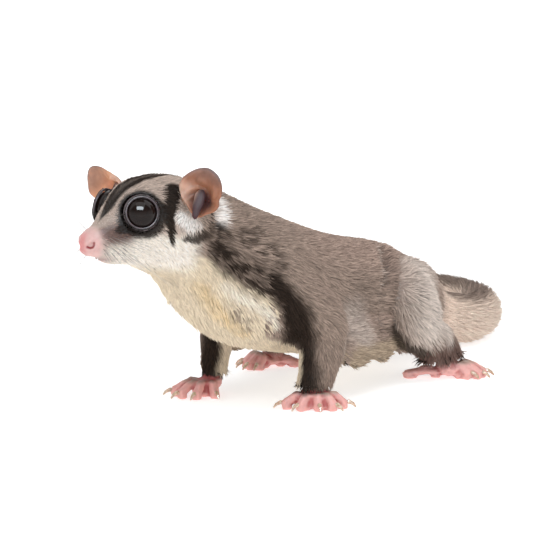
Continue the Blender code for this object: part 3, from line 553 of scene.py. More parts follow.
def head_colours(lay, colour):
    """A pale face with a dark crown stripe, eye rings and patches, and white at each ear."""
    back, out, up = lay.back, lay.out, lay.up
    uneven = lay.wobble[:, None]
    on_head = smooth_step(46 - back, 0, 8)
    upper_face = smooth_step(up + lay.wobble, -1, 3) * smooth_step(34 - back, 0, 6)
    face = mix(colour, PALE_FACE, on_head * upper_face)
    cheek = smooth_step(3.2 - up + lay.wobble * 0.5, 0, 2.5) * smooth_step(32 - back, 0, 6) * on_head
    face = mix(face, CHEEK, cheek * smooth_step(up, -12, -7))
    face = mix(face, CREAM * 0.94, cheek * smooth_step(-up, 5, 11))
    half = np.interp(back, CROWN_ALONG, CROWN_HALF)
    crown = smooth_step(half - out + lay.wobble * 0.35, -0.4, 0.6) * smooth_step(up, 4, 7)
    streak = 1 - 0.15 * smooth_step(1.1 - out + lay.wobble * 0.5, 0, 0.8) * smooth_step(back, 10, 13)
    face = mix(face, DARK, crown * streak * np.interp(back, (24, 30, 46), (0.97, 0.7, 0.5)))
    face = mix(face, MUZZLE, 0.95 * stroke(lay.head + uneven * 0.2, MUZZLE_MARK, (3.4, 3.0, 1.8), 0.5))
    ring = ball_of(lay.head, (EYE_BACK, EYE_OUT, EYE_UP - EYE_RING_DROP), EYE_RING + 0.3 * lay.wobble, 0.08)
    face = mix(face, DARK, 0.97 * ring)
    face = mix(face, DARK, 0.9 * stroke(lay.head, EYE_FRONT, (2.4, 1.0), 0.3))
    behind_eye = stroke(lay.head + uneven * 0.15, BEHIND_EYE, (3.0, 2.9, 2.4, 1.2, 0.4), 0.25)
    face = mix(face, DARK, 0.97 * behind_eye)
    white = np.maximum(stroke(lay.head, WHITE_BEFORE_EAR, (2.0, 2.6, 1.7), 0.3),
                       stroke(lay.head, WHITE_BEHIND_EAR, (1.2, 2.1, 2.2, 1.3), 0.5))
    face = mix(face, WHITE, white)
    face = mix(face, DARK, 0.9 * stroke(lay.head + uneven * 0.2, UNDER_EAR, (0.8, 1.7, 1.5, 0.9), 0.4))
    return mix(colour, face, on_head)


# The dark band from the ear down the fore leg, its reach at each spot, and the marks by it
BAND = [(11.4, -34.6, 58.5), (12.2, -35.6, 54.0), (12.8, -34.4, 50.5), (15.0, -28.5, 46.4),
        (17.6, -19.0, 41.4), (18.8, -12.5, 36.5), (18.6, -7.4, 29.5), (16.6, -1.8, 20.0),
        (16.0, 0.0, 8.0)]
BAND_REACH = (2.4, 4.4, 4.2, 3.8, 3.6, 3.8, 4.4, 5.6, 6.0)
CAPE = [(13.4, -28.0, 56.0), (15.6, -22.5, 53.0), (17.4, -18.5, 49.4), (18.4, -13.0, 45.0)]
BAND_FRONT = [(12.0, -34.0, 43.0), (13.8, -29.6, 39.8), (15.4, -24.0, 36.4), (16.0, -17.5, 32.0),
              (15.6, -11.5, 26.5)]
CHEST_WISPS = [(12.2, -31.0, 38.0), (12.2, -26.0, 33.5), (11.6, -20.7, 28.6)]


def fore_leg_colours(lay, colour):
    """The band and its mottled upper end, with cream inside the leg and pale fur behind it."""
    banded = lay.sided + lay.wobble[:, None] * 0.35
    band = stroke(banded, BAND, BAND_REACH, 0.5)
    mottled = 0.5 + 0.5 * smooth_step(patches(lay.points, 1.3, 4), 0.3, 0.6)
    colour = mix(colour, DARK, 0.95 * band * np.where(lay.y < -20, mottled, 1) * smooth_step(-lay.y, -13, -9))
    cape = stroke(banded, CAPE, (3.0, 4.2, 3.8, 2.4), 0.6)
    grizzle = smooth_step(patches(lay.points * (1, 0.7, 1), 1.1, 9), 0.38, 0.6)
    colour = mix(colour, DARK, 0.62 * cape * grizzle)
    colour = mix(colour, PALE_EDGE, 0.75 * stroke(lay.sided, BAND_FRONT, (2.0, 2.2, 2.0, 1.8, 1.4), 0.5))
    wisps = stroke(lay.sided, CHEST_WISPS, (1.6, 2.7, 1.8), 0.6)
    streaks = smooth_step(patches(lay.points * (1, 1, 0.35), 0.9, 6), 0.35, 0.7)
    colour = mix(colour, GREY * 0.6, 0.8 * wisps * streaks)

    forearm = lay.part("forearm")
    inner = np.where(lay.x > 0, smooth_step(12.2 - lay.x, -0.5, 1), smooth_step(lay.x + 15.4, -0.5, 1.5))
    colour = mix(colour, CREAM, 0.95 * forearm * inner)
    forward = -0.83 * lay.outward[:, 0] * np.sign(lay.x) - 0.56 * lay.outward[:, 1]
    colour = mix(colour, CREAM, 0.9 * forearm * smooth_step(forward, 0.72, 0.92) * (lay.x > 0))
    arm = forearm | lay.part("upper_arm")
    rear_edge = smooth_step(lay.outward[:, 1], 0.1, 0.8) * arm * smooth_step(30 - lay.z, 0, 6)
    return mix(colour, PALE_GREY, 0.85 * rear_edge)


FRINGE_TOP = 17.5
HAUNCH = [(22.0, 57.0, 34.0), (28.5, 52.0, 27.0), (31.0, 50.0, 20.0)]
MID_FLANK = (21.4, 23.0, 32.0)
SHADE_BEFORE_HAUNCH = [(17.0, 47.0, 39.5), (20.0, 44.5, 36.5), (23.8, 41.0, 31.0)]
HOCK = [(29.6, 58.0, 29.0), (30.7, 57.1, 25.4), (32.2, 56.6, 19.3), (34.6, 57.0, 12.5)]
THIGH_GROOVE_SHADE = [(31.6, 51.0, 28.0), (32.6, 50.0, 25.0), (33.4, 50.8, 21.0), (34.2, 52.6, 15.5)]
KNEE_SHADOW = [(24.5, 38.0, 18.0), (25.5, 43.0, 13.0), (29.0, 51.0, 10.5)]


def hind_leg_colours(lay, colour):
    """The gliding skin's fringe in painted shade, the pale haunch, the fold's pale edge and painted shadow,
    painted shade in the hollows of the haunch and knee, and the dark ankle.
    """
    # The cream fringe low on the gliding skin is darkened, a painted shade
    fringe = lay.part("membrane") * smooth_step(FRINGE_TOP - lay.z + lay.wobble, 0, 3)
    colour = mix(colour, CREAM * (0.56, 0.52, 0.50), 0.9 * fringe)
    colour = mix(colour, PALE_GREY * 1.14, 0.9 * stroke(lay.sided, HAUNCH, (6.0, 7.0, 6.0), 0.8))
    colour = mix(colour, DARK, 0.16 * ball_of(lay.sided, MID_FLANK, 7.0, 0.5))
    # A painted shade in the hollow between the fold and the haunch
    colour = mix(colour, DARK, 0.2 * stroke(lay.sided, SHADE_BEFORE_HAUNCH, (2.4, 3.0, 2.4), 0.8))
    colour = mix(colour, PALE_GREY * 1.1, 0.8 * stroke(lay.sided, HOCK, (1.6, 2.0, 2.0, 2.0), 0.5))
    # A painted shade along a groove down the thigh
    colour = mix(colour, DARK, 0.4 * stroke(lay.sided, THIGH_GROOVE_SHADE, 0.7, 0.8))
    colour = mix(colour, PALE_GREY, 0.45 * stroke(lay.sided, FOLD - np.array([0.6, 2.0, -0.6]), 0.9, 0.5))
    # A painted shadow along the fold, behind its pale edge
    fold_shadow = stroke(lay.sided, FOLD + np.array([0, 0.3, 0]), (0.5, 1.0, 1.1, 1.0), 0.7)
    colour = mix(colour, DARK, 0.56 * fold_shadow)
    # A painted shadow under the front of the haunch, between the thigh and the flank by the knee
    colour = mix(colour, DARK, 0.8 * stroke(lay.sided, KNEE_SHADOW, (2.6, 3.2, 2.6), 0.4))
    shin = lay.part("shin")
    colour = mix(colour, ANKLE, 0.8 * shin * smooth_step(15.0 - lay.z, 0, 4))
    rear = smooth_step(lay.outward[:, 1], 0.3, 0.8) * (lay.part("thigh") | shin)
    return mix(colour, PALE_GREY * 1.15, 0.8 * rear)


def tail_colours(lay, colour):
    """Buff, a little darker above and towards the tail's end."""
    darker = (0.5 * smooth_step(tail_share(lay.points), 0.4, 1.0)
              + 0.75 * smooth_step(lay.outward[:, 2], 0.6, 0.95))
    buff = mix(np.broadcast_to(TAIL_BUFF, lay.points.shape), TAIL_DARK, darker)
    return mix(colour, buff, np.maximum(smooth_step(lay.y + lay.wobble, 80, 92), lay.x < -48))


def bare_colours(lay, colour):
    """The pink nose with its red tip and deep red nostrils in painted shade, the lips with a painted shade
    between them, and the pink hands and feet.
    """
    back, out, up = lay.back, lay.out, lay.up
    pink = smooth_step(7.6 - back - 0.35 * np.maximum(up, 0) + 0.25 * lay.wobble, 0, 4.6) * (up < 7)
    colour = mix(colour, NOSE_PINK, pink)
    colour = mix(colour, NOSE_RED, 0.8 * smooth_step(2.4 - back, 0, 2.4) * smooth_step(2.4 - out, 0, 2.0))
    # The nostrils are painted deep red, partly their own red skin and partly a painted shade in their
    # openings
    gap, along = from_line(lay.head, NOSTRIL, CHEEK_WAY)
    inside = np.exp(-(gap / (0.36 - 0.10 * along)) ** 4) * (1 - 0.3 * along) * (out > 0.6) * (back < 4)
    colour = mix(colour, NOSTRIL_RED, inside)
    gap, along = from_line(lay.head, MOUTH, CHEEK_WAY)
    lips = smooth_step(10.0 - back, 0, 4) * (up < 0)
    # The darker line along the mouth is a painted shade between the lips
    colour = mix(colour, NOSE_PINK * 0.6, 0.6 * ridge(gap, 0.5) * lips)
    colour = mix(colour, NOSE_PINK, 0.45 * ridge(gap, 1.2) * lips)
    bare = lay.part("hand") | lay.part("foot")
    return mix(colour, HAND_PINK, bare * smooth_step(5.6 - lay.z + 0.4 * lay.wobble, 0, 1.6))


def coat_colours(points, outward, names):
    """The colour of skin and coat at each spot."""
    lay = Lay(points, outward, names)
    colour = trunk_colours(lay)
    for marks in (head_colours, fore_leg_colours, hind_leg_colours, tail_colours, bare_colours):
        colour = marks(lay, colour)
    return colour


def tail_share(points):
    """How far along the tail a spot is, from 0 at its root to 1 at its end."""
    best = np.full(len(points), 999.0)
    share = np.zeros(len(points))
    for index, row in enumerate(tail_rows[::3]):
        gap = np.linalg.norm(points - row[:3], axis=1)
        share = np.where(gap < best, index * 3 / len(tail_rows), share)
        best = np.minimum(gap, best)
    return share


def colour_layer(made, name, colours):
    """Store a colour at each of a mesh's points."""
    layer = made.data.color_attributes.new(name, "FLOAT_COLOR", "POINT")
    full = np.ones((len(colours), 4), dtype=np.float32)
    full[:, :3] = np.clip(colours, 0, 1)
    layer.data.foreach_set("color", full.ravel())


names = nearest_parts(points)
on_tail = tail_part(points)
colours = coat_colours(points, outward, names)
x, y, z = points.T
off = points - NOSE_TIP
head_back, head_left, head_up = off @ HEAD_BACK, off @ HEAD_LEFT, off[:, 2]
bare = np.isin(names, ("hand_left", "hand_right", "foot_left", "foot_right"))
bare = bare * smooth_step(7.4 - 3.2 * behind_toes - z, 0, 1.4)
bare = np.maximum(bare, smooth_step(5.8 - head_back, 0, 2.4) * (head_up < 8))
# Bare skin is painted a darker red in its hollows, a painted shade between the digits and pads, and lighter
# on its bulges, a painted light
hollow = ((eased(skin, points, 6) - points) * outward).sum(axis=1) / 0.22
colours = colours + (SHADED_CREASE_RED - colours) * (bare * np.clip(hollow, 0, 0.8) * (z < 9))[:, None]
colours = colours * (1 + 0.18 * bare * np.clip(-hollow, 0, 1))[:, None]
shaded = colours * (1 - 0.35 * (1 - bare))[:, None]
colour_layer(skin, "coat_colour", shaded)
colour_layer(skin, "bare_skin", np.repeat(bare[:, None], 3, axis=1))


def shader_of(material):
    """A new material's tree and its shader."""
    material.use_nodes = True
    return material.node_tree, material.node_tree.nodes["Principled BSDF"]


def node(tree, kind, **values):
    """A new node in a tree, with its values set by name."""
    made = tree.nodes.new(kind)
    for name, value in values.items():
        if name in made.inputs:
            made.inputs[name].default_value = value
        else:
            setattr(made, name, value)
    return made


def noise_on(tree, **values):
    """A noise that lies still on the piece."""
    place = tree.nodes.new("ShaderNodeTexCoord")
    noise = node(tree, "ShaderNodeTexNoise", **values)
    tree.links.new(place.outputs["Object"], noise.inputs["Vector"])
    return noise


def ranged(tree, value, low, high, least, most):
    """A value from low to high, spread from least to most."""
    spread = node(tree, "ShaderNodeMapRange")
    for name, amount in (("From Min", low), ("From Max", high), ("To Min", least), ("To Max", most)):
        spread.inputs[name].default_value = amount
    tree.links.new(value, spread.inputs["Value"])
    return spread.outputs["Result"]


def painted(tree, shader, layer_name, noise, darkest, palest):
    """Colour a piece from its own colour layer, darkened and lightened by a noise."""
    layer = node(tree, "ShaderNodeVertexColor", layer_name=layer_name)
    vary = node(tree, "ShaderNodeMix", data_type="RGBA", blend_type="MULTIPLY")
    vary.inputs["Factor"].default_value = 1.0
    tree.links.new(layer.outputs["Color"], vary.inputs["A"])
    tree.links.new(ranged(tree, noise.outputs["Fac"], 0.0, 1.0, darkest, palest), vary.inputs["B"])
    tree.links.new(vary.outputs["Result"], shader.inputs["Base Color"])


def two_tones(tree, shader, noise, dark, pale, low=0.0, high=1.0):
    """Colour a piece from a dark to a pale tone by a noise."""
    tones = node(tree, "ShaderNodeValToRGB")
    for element, tone, position in zip(tones.color_ramp.elements, (dark, pale), (low, high)):
        element.position = position
        element.color = (*tone, 1)
    tree.links.new(noise.outputs["Fac"], tones.inputs["Fac"])
    tree.links.new(tones.outputs["Color"], shader.inputs["Base Color"])


def bumped(tree, shader, height, strength, distance):
    """Fine relief on a shader."""
    bump = node(tree, "ShaderNodeBump", Strength=strength, Distance=distance)
    tree.links.new(height, bump.inputs["Height"])
    tree.links.new(bump.outputs["Normal"], shader.inputs["Normal"])


def creased(tree, shader, size, strength, distance):
    """The fine creases of bare skin on a shader."""
    fine = tree.nodes.new("ShaderNodeGroup")
    fine.node_tree = creases
    fine.inputs["Size"].default_value = size
    bumped(tree, shader, fine.outputs["Height"], strength, distance)


# Fine creases, used on every bare skin: a net of lines between small plates
creases = bpy.data.node_groups.new("skin_creases", "ShaderNodeTree")
creases.interface.new_socket("Size", in_out="INPUT", socket_type="NodeSocketFloat")
creases.interface.new_socket("Height", in_out="OUTPUT", socket_type="NodeSocketFloat")
entry = creases.nodes.new("NodeGroupInput")
leave = creases.nodes.new("NodeGroupOutput")
place = creases.nodes.new("ShaderNodeTexCoord")
plates = creases.nodes.new("ShaderNodeTexVoronoi")
plates.feature = "DISTANCE_TO_EDGE"
lumps = creases.nodes.new("ShaderNodeTexNoise")
lumps.inputs["Detail"].default_value = 6
both = creases.nodes.new("ShaderNodeMath")
both.operation = "MULTIPLY_ADD"
both.inputs[1].default_value = 0.6
creases.links.new(place.outputs["Object"], plates.inputs["Vector"])
creases.links.new(place.outputs["Object"], lumps.inputs["Vector"])
creases.links.new(entry.outputs["Size"], plates.inputs["Scale"])
creases.links.new(entry.outputs["Size"], lumps.inputs["Scale"])
creases.links.new(plates.outputs["Distance"], both.inputs[0])
creases.links.new(lumps.outputs["Fac"], both.inputs[2])
creases.links.new(both.outputs[0], leave.inputs["Height"])

skin_look = bpy.data.materials.new("skin_under_coat")
tree, shader = shader_of(skin_look)
shader.inputs["Roughness"].default_value = 0.55
shader.inputs["Subsurface Weight"].default_value = 0.18
shader.inputs["Subsurface Radius"].default_value = (1.0, 0.45, 0.3)
shader.inputs["Subsurface Scale"].default_value = 0.0012
shader.inputs["Specular IOR Level"].default_value = 0.25
blotches = noise_on(tree, Scale=900.0, Detail=4.0)
painted(tree, shader, "coat_colour", blotches, 0.82, 1.12)
creased(tree, shader, 1500.0, 0.35, 0.00025)
skin.data.materials.clear()
skin.data.materials.append(skin_look)
skin.data.shade_smooth()
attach(skin, "root")
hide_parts(*FLESH, *TAILS)


# The coat
# Thousands of small flat tufts lie over one another along the body, each a closed solid
# rooted in the skin. They are shortest on the face and legs and longest on the tail.

TUFT_TOTAL = 138000
PIECE_LIMIT = 19500

# The coat's length at each part in millimetres, and how thickly it grows there
LENGTHS = {
    "nose": 0.6, "head": 2.3, "neck": 3.8, "torso": 4.2, "membrane": 3.0,
    "upper": 3.6, "forearm": 2.6, "hand": 0.9, "thigh": 3.8, "shin": 2.4, "foot": 0.9,
}
CROWDING = {
    "nose": 0.0, "head": 2.1, "neck": 1.15, "torso": 1.0, "membrane": 1.2,
    "upper": 1.1, "forearm": 1.6, "hand": 1.0, "thigh": 1.0, "shin": 1.7, "foot": 1.0,
}
TAIL_HAIR, TAIL_CROWDING = 8.5, 2.0
TAIL_ALONG, TAIL_LENGTHS = (0, 0.12, 0.3, 0.85, 1), (0.42, 0.6, 1, 1, 0.7)
FACE_NEAR, FACE_CHIN = 26, -16
FACE_ALONG, FACE_LENGTHS = (4, 8, 14, 24, 34), (0.5, 0.9, 1.4, 2.0, 2.8)
ANKLE_TOP, ANKLE_HAIR = 9.5, 3.8
EAR_FOOT_BACK, EAR_FOOT_OUT, EAR_FOOT_UP = 29.0, 15.0, 8.0
# How near the floor a tuft may be rooted, and may reach
LOWEST_ROOT, LOWEST_TUFT = 0.4, 0.06

# How far each eye looks out, forward and up
GAZE_OUT, GAZE_FORWARD, GAZE_UP = 0.86, 0.44, 0.20
# The lid's inside, where no tuft grows, and how far round the eye the coat is short
LID_INSIDE, EYE_NEAR, EYE_CLEAR = 4.75, 4.6, 8.0


def eye_place(side):
    """The middle of an eye and the way it looks."""
    gaze = unit(HEAD_LEFT * GAZE_OUT * side - HEAD_BACK * GAZE_FORWARD + UP * GAZE_UP)
    return head_spot(EYE_BACK, EYE_OUT * side, EYE_UP), gaze


kinds = np.array([name.split("_")[0] for name in names])
length = eased(skin, np.array([LENGTHS[kind] for kind in kinds]), 16)
crowd = eased(skin, np.array([CROWDING[kind] for kind in kinds]), 8)
face_near = smooth_step(FACE_NEAR - head_back, 0, 14)
length = length * (1 - 0.5 * face_near * (head_up > FACE_CHIN))
face_length = np.interp(head_back, FACE_ALONG, FACE_LENGTHS)
length = np.where(kinds == "head", np.minimum(length, face_length), length)
tail_length = TAIL_HAIR * np.interp(tail_share(points), TAIL_ALONG, TAIL_LENGTHS)
length = length * (1 - on_tail) + tail_length * on_tail
crowd = crowd * (1 - on_tail) + TAIL_CROWDING * on_tail
crowd = crowd * (1 - 0.97 * bare)
for side in (1, -1):
    eye, gaze = eye_place(side)
    gap = points - eye
    ahead = gap @ gaze
    ring = np.linalg.norm(gap - ahead[:, None] * gaze, axis=1)
    crowd = np.where((ring < LID_INSIDE) & (ahead > -1.5), 0, crowd)
    near_eye = (1 - smooth_step(ring, EYE_NEAR, EYE_CLEAR)) * (ahead > -3)
    length = length * (1 - 0.55 * near_eye)
crowd = np.where(z < LOWEST_ROOT, 0, crowd)

# The lie of the coat: back along the head and trunk, down the limbs and along the tail
lie = np.tile([0.0, 1.0, -0.18], (len(points), 1))
lie += np.outer(smooth_step(-outward[:, 2], -0.3, 0.6), (0, 0.1, -0.2))
on_head = smooth_step(44 - head_back, 0, 12)[:, None] * np.ones(3)
lie = lie * (1 - on_head) + (HEAD_BACK + np.outer(np.sign(head_left), HEAD_LEFT) * 0.25
                             - UP * 0.12) * on_head
chest = (smooth_step(-outward[:, 1], 0.0, 0.6) * smooth_step(-y, 2, 12) * smooth_step(y, -60, -46))[:, None]
lie = lie * (1 - 0.7 * chest) + np.array([0, 0.3, -1.0]) * 0.7 * chest
limb = eased(skin, np.isin(kinds, ("forearm", "hand", "shin", "foot")).astype(float), 12)[:, None]
upper = eased(skin, np.isin(kinds, ("upper", "thigh")).astype(float), 12)[:, None]
lie = lie * (1 - 0.55 * upper) + np.array([0, 0.5, -0.9]) * 0.55 * upper
lie = lie * (1 - limb) + np.array([0, 0.2, -1.0]) * limb
for side in (1, -1):
    ear_foot = head_spot(EAR_FOOT_BACK, EAR_FOOT_OUT * side, EAR_FOOT_UP)
    fan = points - ear_foot
    near_ear = (1 - smooth_step(np.linalg.norm(fan, axis=1), 5.0, 9.0))[:, None]
    lie = lie * (1 - near_ear) + (unit(fan) - UP * 0.4) * near_ear
    length = length * (1 - 0.4 * near_ear[:, 0])
tail_ways = unit(np.gradient(tail_rows[:, :3], axis=0))
best = np.full(len(points), 999.0)
tail_way = np.zeros((len(points), 3))
for row, way in zip(tail_rows, tail_ways):
    gap = np.linalg.norm(points - row[:3], axis=1)
    nearer = gap < best
    tail_way[nearer] = way
    best = np.minimum(gap, best)
lie = lie * (1 - on_tail[:, None]) + tail_way * on_tail[:, None]
crowd = crowd * (1 - smooth_step((outward * tail_way).sum(axis=1), 0.45, 0.8) * (y > 78) * (x > -30))
length = np.where((kinds == "shin") & (z < ANKLE_TOP), ANKLE_HAIR, length)
lift = 0.20 + 0.08 * on_tail - 0.02 * face_near + 0.10 * chest[:, 0]
length = length * (1 + 0.15 * chest[:, 0])

draw = np.random.default_rng(20)
corners = np.empty(len(skin.data.polygons) * 3, dtype=np.int64)
skin.data.polygons.foreach_get("vertices", corners)
corners = corners.reshape(-1, 3)
first, second, third = points[corners].transpose(1, 0, 2)
areas = np.linalg.norm(np.cross(second - first, third - first), axis=1) / 2
weights = areas * crowd[corners].mean(axis=1)
ends = np.cumsum(weights)
picks = np.searchsorted(ends, (np.arange(TUFT_TOTAL) + draw.random(TUFT_TOTAL)) / TUFT_TOTAL * ends[-1])
picks = np.minimum(picks, len(corners) - 1)
share = draw.random((TUFT_TOTAL, 3))
share = -np.log(share + 1e-9)
share /= share.sum(axis=1, keepdims=True)


def over(values):
    """Values at the skin's points, read at each tuft's root."""
    part = values[corners[picks]]
    return np.einsum("tc,tc...->t...", share, part)


root = over(points)
root_normal = unit(over(outward))
root_lie = over(lie)
root_length = over(length)
root_lift = over(lift)
root_tail = over(on_tail)
root_names = names[corners[picks, 0]]
root_colour = coat_colours(root, root_normal, root_names)

stray = np.stack([patches(root, 3.0, seed) - 0.5 for seed in (11, 12, 13)], axis=1)
fine_stray = np.stack([patches(root, 1.2, seed) - 0.5 for seed in (14, 15, 16)], axis=1)
calm = (1 - 0.6 * root_tail)[:, None]
way = unit(root_lie) + (stray * 0.30 + fine_stray * 0.34) * calm + draw.normal(0, 0.09, root.shape)
way = way - root_normal * (way * root_normal).sum(axis=1, keepdims=True)
way = unit(way)
flank = np.cross(root_normal, way)
reach = root_length * draw.uniform(0.7, 1.2, TUFT_TOTAL)
rise = root_lift * draw.uniform(0.6, 1.25, TUFT_TOTAL)
width = np.clip(0.085 * root_length + 0.12, 0.18, 0.8) * draw.uniform(0.8, 1.2, TUFT_TOTAL)
thick = width * 0.36


def station(forward, height, wide, high):
    """Three corners of every tuft at one share of its length."""
    middle = (root + way * (reach * forward)[:, None] + root_normal * (reach * rise * height)[:, None]
              - root_normal * 0.1)
    half = flank * (width * wide / 2)[:, None]
    top = root_normal * (thick * high)[:, None]
    return [middle + half, middle - half, middle + top]


rings = station(0.0, 0.0, 0.8, 0.9) + station(0.45, 0.62, 1.0, 0.9)
tip = root + way * reach[:, None] + root_normal * (reach * rise)[:, None]
tufts = np.stack(rings + [tip], axis=1)
tufts[:, :, 2] = np.maximum(tufts[:, :, 2], LOWEST_TUFT)
TUFT_FACES = np.array([
    (0, 1, 2), (0, 4, 1), (0, 3, 4), (1, 5, 2), (1, 4, 5), (2, 3, 0), (2, 5, 3),
    (3, 6, 4), (4, 6, 5), (5, 6, 3),
])
flip = np.einsum("tc,tc->t", np.cross(tufts[:, 1] - tufts[:, 0], tufts[:, 2] - tufts[:, 0]), way) > 0
grizzle = draw.uniform(0, 1, TUFT_TOTAL)
lightness = root_colour.mean(axis=1)
contrast = np.clip(0.40 - 0.5 * lightness, 0.08, 0.34) * (1 - 0.35 * root_tail)
gain = 1 + contrast * (grizzle * 2 - 1) + 0.14 * (patches(root, 1.6, 21) - 0.5)
tuft_colour = root_colour * gain[:, None]
tip_gain = np.where((grizzle > 0.6) & (lightness > 0.06), 1.3, 1.05)

# An unwrap of the skin's own shape, on a coarse copy, that places every tuft on one map of the skin
CHART_SHARE = 0.06
chart = skin.copy()
chart.data = skin.data.copy()
chart.name = "chart"
bpy.context.scene.collection.objects.link(chart)
apply(chart, "DECIMATE", ratio=CHART_SHARE)
only(chart)
bpy.ops.object.mode_set(mode="EDIT")
bpy.ops.mesh.select_all(action="SELECT")
bpy.ops.uv.smart_project(angle_limit=math.radians(66), island_margin=0.003)
bpy.ops.object.mode_set(mode="OBJECT")
chart_points = np.array([vertex.co for vertex in chart.data.vertices])
chart_faces = [tuple(face.vertices) for face in chart.data.polygons]
chart_tree = BVHTree.FromPolygons(chart_points.tolist(), chart_faces)
chart_uv = np.empty(len(chart.data.loops) * 2)
chart.data.uv_layers.active.data.foreach_get("uv", chart_uv)
chart_uv = chart_uv.reshape(-1, 3, 2)
near_face = np.empty(TUFT_TOTAL, dtype=int)
near_place = np.empty((TUFT_TOTAL, 3))
for index, spot in enumerate(root):
    near_place[index], _, near_face[index], _ = chart_tree.find_nearest(at(spot))


def shares_of_corners(first, second, third, places):
    """How much each corner of a triangle counts at a place in it."""
    side_one, side_two, inside = second - first, third - first, places - first
    one_one = (side_one * side_one).sum(1)
    one_two = (side_one * side_two).sum(1)
    two_two = (side_two * side_two).sum(1)
    in_one = (inside * side_one).sum(1)
    in_two = (inside * side_two).sum(1)
    span = np.maximum(one_one * two_two - one_two ** 2, 1e-30)
    second_share = np.clip((two_two * in_one - one_two * in_two) / span, 0, 1)
    third_share = np.clip((one_one * in_two - one_two * in_one) / span, 0, 1)
    return np.stack([1 - second_share - third_share, second_share, third_share], axis=1)


near_corners = chart_points[np.array(chart_faces)[near_face]]
counts = shares_of_corners(near_corners[:, 0], near_corners[:, 1], near_corners[:, 2], near_place)
root_uv = (chart_uv[near_face] * counts[:, :, None]).sum(axis=1)
bpy.data.objects.remove(chart)

PATCH = 0.0015
UV_SPREAD = np.array([(-1, -1), (1, -1), (0, -0.8), (-0.9, 0.2), (0.9, 0.2), (0, 0.3), (0, 1)]) * PATCH

coat_look = bpy.data.materials.new("coat_hair")
tree, shader = shader_of(coat_look)
shader.inputs["Roughness"].default_value = 0.7
shader.inputs["Specular IOR Level"].default_value = 0.06
strands = noise_on(tree, Scale=4200.0, Detail=3.0)
painted(tree, shader, "coat_colour", strands, 0.72, 1.22)
bumped(tree, shader, strands.outputs["Fac"], 0.4, 0.0001)


CORNERS, TRIANGLES, TIP = 7, len(TUFT_FACES), 6
ROOT_SHADE, TIP_LEAN = 0.7, 0.3
SIDE_LEANS = np.array([0.5, -0.5, 0, 0.5, -0.5, 0, 0])


def lay_coat(name, chosen):
    """One piece of coat from the chosen tufts."""
    count = len(chosen)
    faces = np.where(flip[chosen][:, None, None], TUFT_FACES[:, ::-1], TUFT_FACES)
    faces = faces + (np.arange(count) * CORNERS)[:, None, None]
    mesh = bpy.data.meshes.new(name)
    mesh.vertices.add(count * CORNERS)
    mesh.vertices.foreach_set("co", ((tufts[chosen] + SHIFT) * MM).ravel())
    mesh.loops.add(count * TRIANGLES * 3)
    mesh.loops.foreach_set("vertex_index", faces.ravel())
    mesh.polygons.add(count * TRIANGLES)
    mesh.polygons.foreach_set("loop_start", np.arange(count * TRIANGLES) * 3)
    mesh.polygons.foreach_set("loop_total", np.full(count * TRIANGLES, 3))
    mesh.update(calc_edges=True)
    mesh.shade_smooth()
    made = bpy.data.objects.new(name, mesh)
    bpy.context.scene.collection.objects.link(made)
    mesh.materials.append(coat_look)

    paint = np.repeat(tuft_colour[chosen][:, None, :], CORNERS, axis=1)
    paint[:, :3] *= ROOT_SHADE
    paint[:, TIP] *= tip_gain[chosen][:, None]
    colour_layer(made, "coat_colour", paint.reshape(-1, 3))
    layer = mesh.uv_layers.new(name="OFBake")
    spots_uv = root_uv[chosen][:, None, :] + UV_SPREAD
    corner_uv = spots_uv.reshape(-1, 2)[faces.ravel()]
    layer.data.foreach_set("uv", corner_uv.ravel())

    # Each tuft is lit much as the skin below it, so that the coat looks soft
    turned = normals(made).reshape(count, CORNERS, 3)
    up_way, side_way = root_normal[chosen][:, None, :], flank[chosen][:, None, :]
    leans = side_way * SIDE_LEANS[None, :, None] + up_way
    leans[:, TIP] += way[chosen] * TIP_LEAN
    own = (0.35 + 0.45 * root_tail[chosen])[:, None, None]
    leans = unit(leans) * (1 - own) + turned * own
    layer = mesh.attributes.new("custom_normal", "FLOAT_VECTOR", "POINT")
    layer.data.foreach_set("vector", unit(leans).reshape(-1, 3).ravel())
    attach(made, "root")


root_kinds = np.array([name.split("_")[0] for name in root_names])
group = np.full(TUFT_TOTAL, "trunk", dtype="<U12")
group[np.isin(root_kinds, ("head", "nose"))] = "head"
group[root_kinds == "neck"] = "neck"
group[np.isin(root_kinds, ("upper", "forearm", "hand"))] = "arms"
group[np.isin(root_kinds, ("thigh", "shin", "foot"))] = "legs"
group[root_kinds == "membrane"] = "flanks"
group[root_tail > 0.5] = "tail"
SLOTS = {"head": "grey_fur", "neck": "grey_fur", "trunk": "grey_fur", "arms": "dark_fur",
         "legs": "grey_fur", "flanks": "cream_fur", "tail": "tail_fur"}
for kind, slot in SLOTS.items():
    chosen = np.flatnonzero(group == kind)
    chosen = chosen[np.argsort(root[chosen, 1], kind="stable")]
    pieces = math.ceil(len(chosen) / PIECE_LIMIT)
    for number, part in enumerate(np.array_split(chosen, pieces)):
        name = "coat_" + kind + ("_" + str(number + 1) if pieces > 1 else "")
        lay_coat(name, part)


# The eyes
# Each eye is a large glossy ball, almost black, sunk in the head up to its bare lid rim.
# Its wet gloss lies over a very dark brown.

LID_RADIUS = 4.42
LID_THICKNESS = 0.33
LID_LIFT = 2.95

EYE_FRONT_SHARE, EYE_SWELL = 0.55, 0.2
LID_SPREAD, LID_SLOPE = 0.9, 5.0

eye_look = bpy.data.materials.new("eye_gloss")
tree, shader = shader_of(eye_look)
shader.inputs["Roughness"].default_value = 0.04
shader.inputs["IOR"].default_value = 1.30
fibres = noise_on(tree, Scale=700.0, Detail=5.0)
two_tones(tree, shader, fibres, (0.003, 0.002, 0.002), (0.016, 0.008, 0.006))

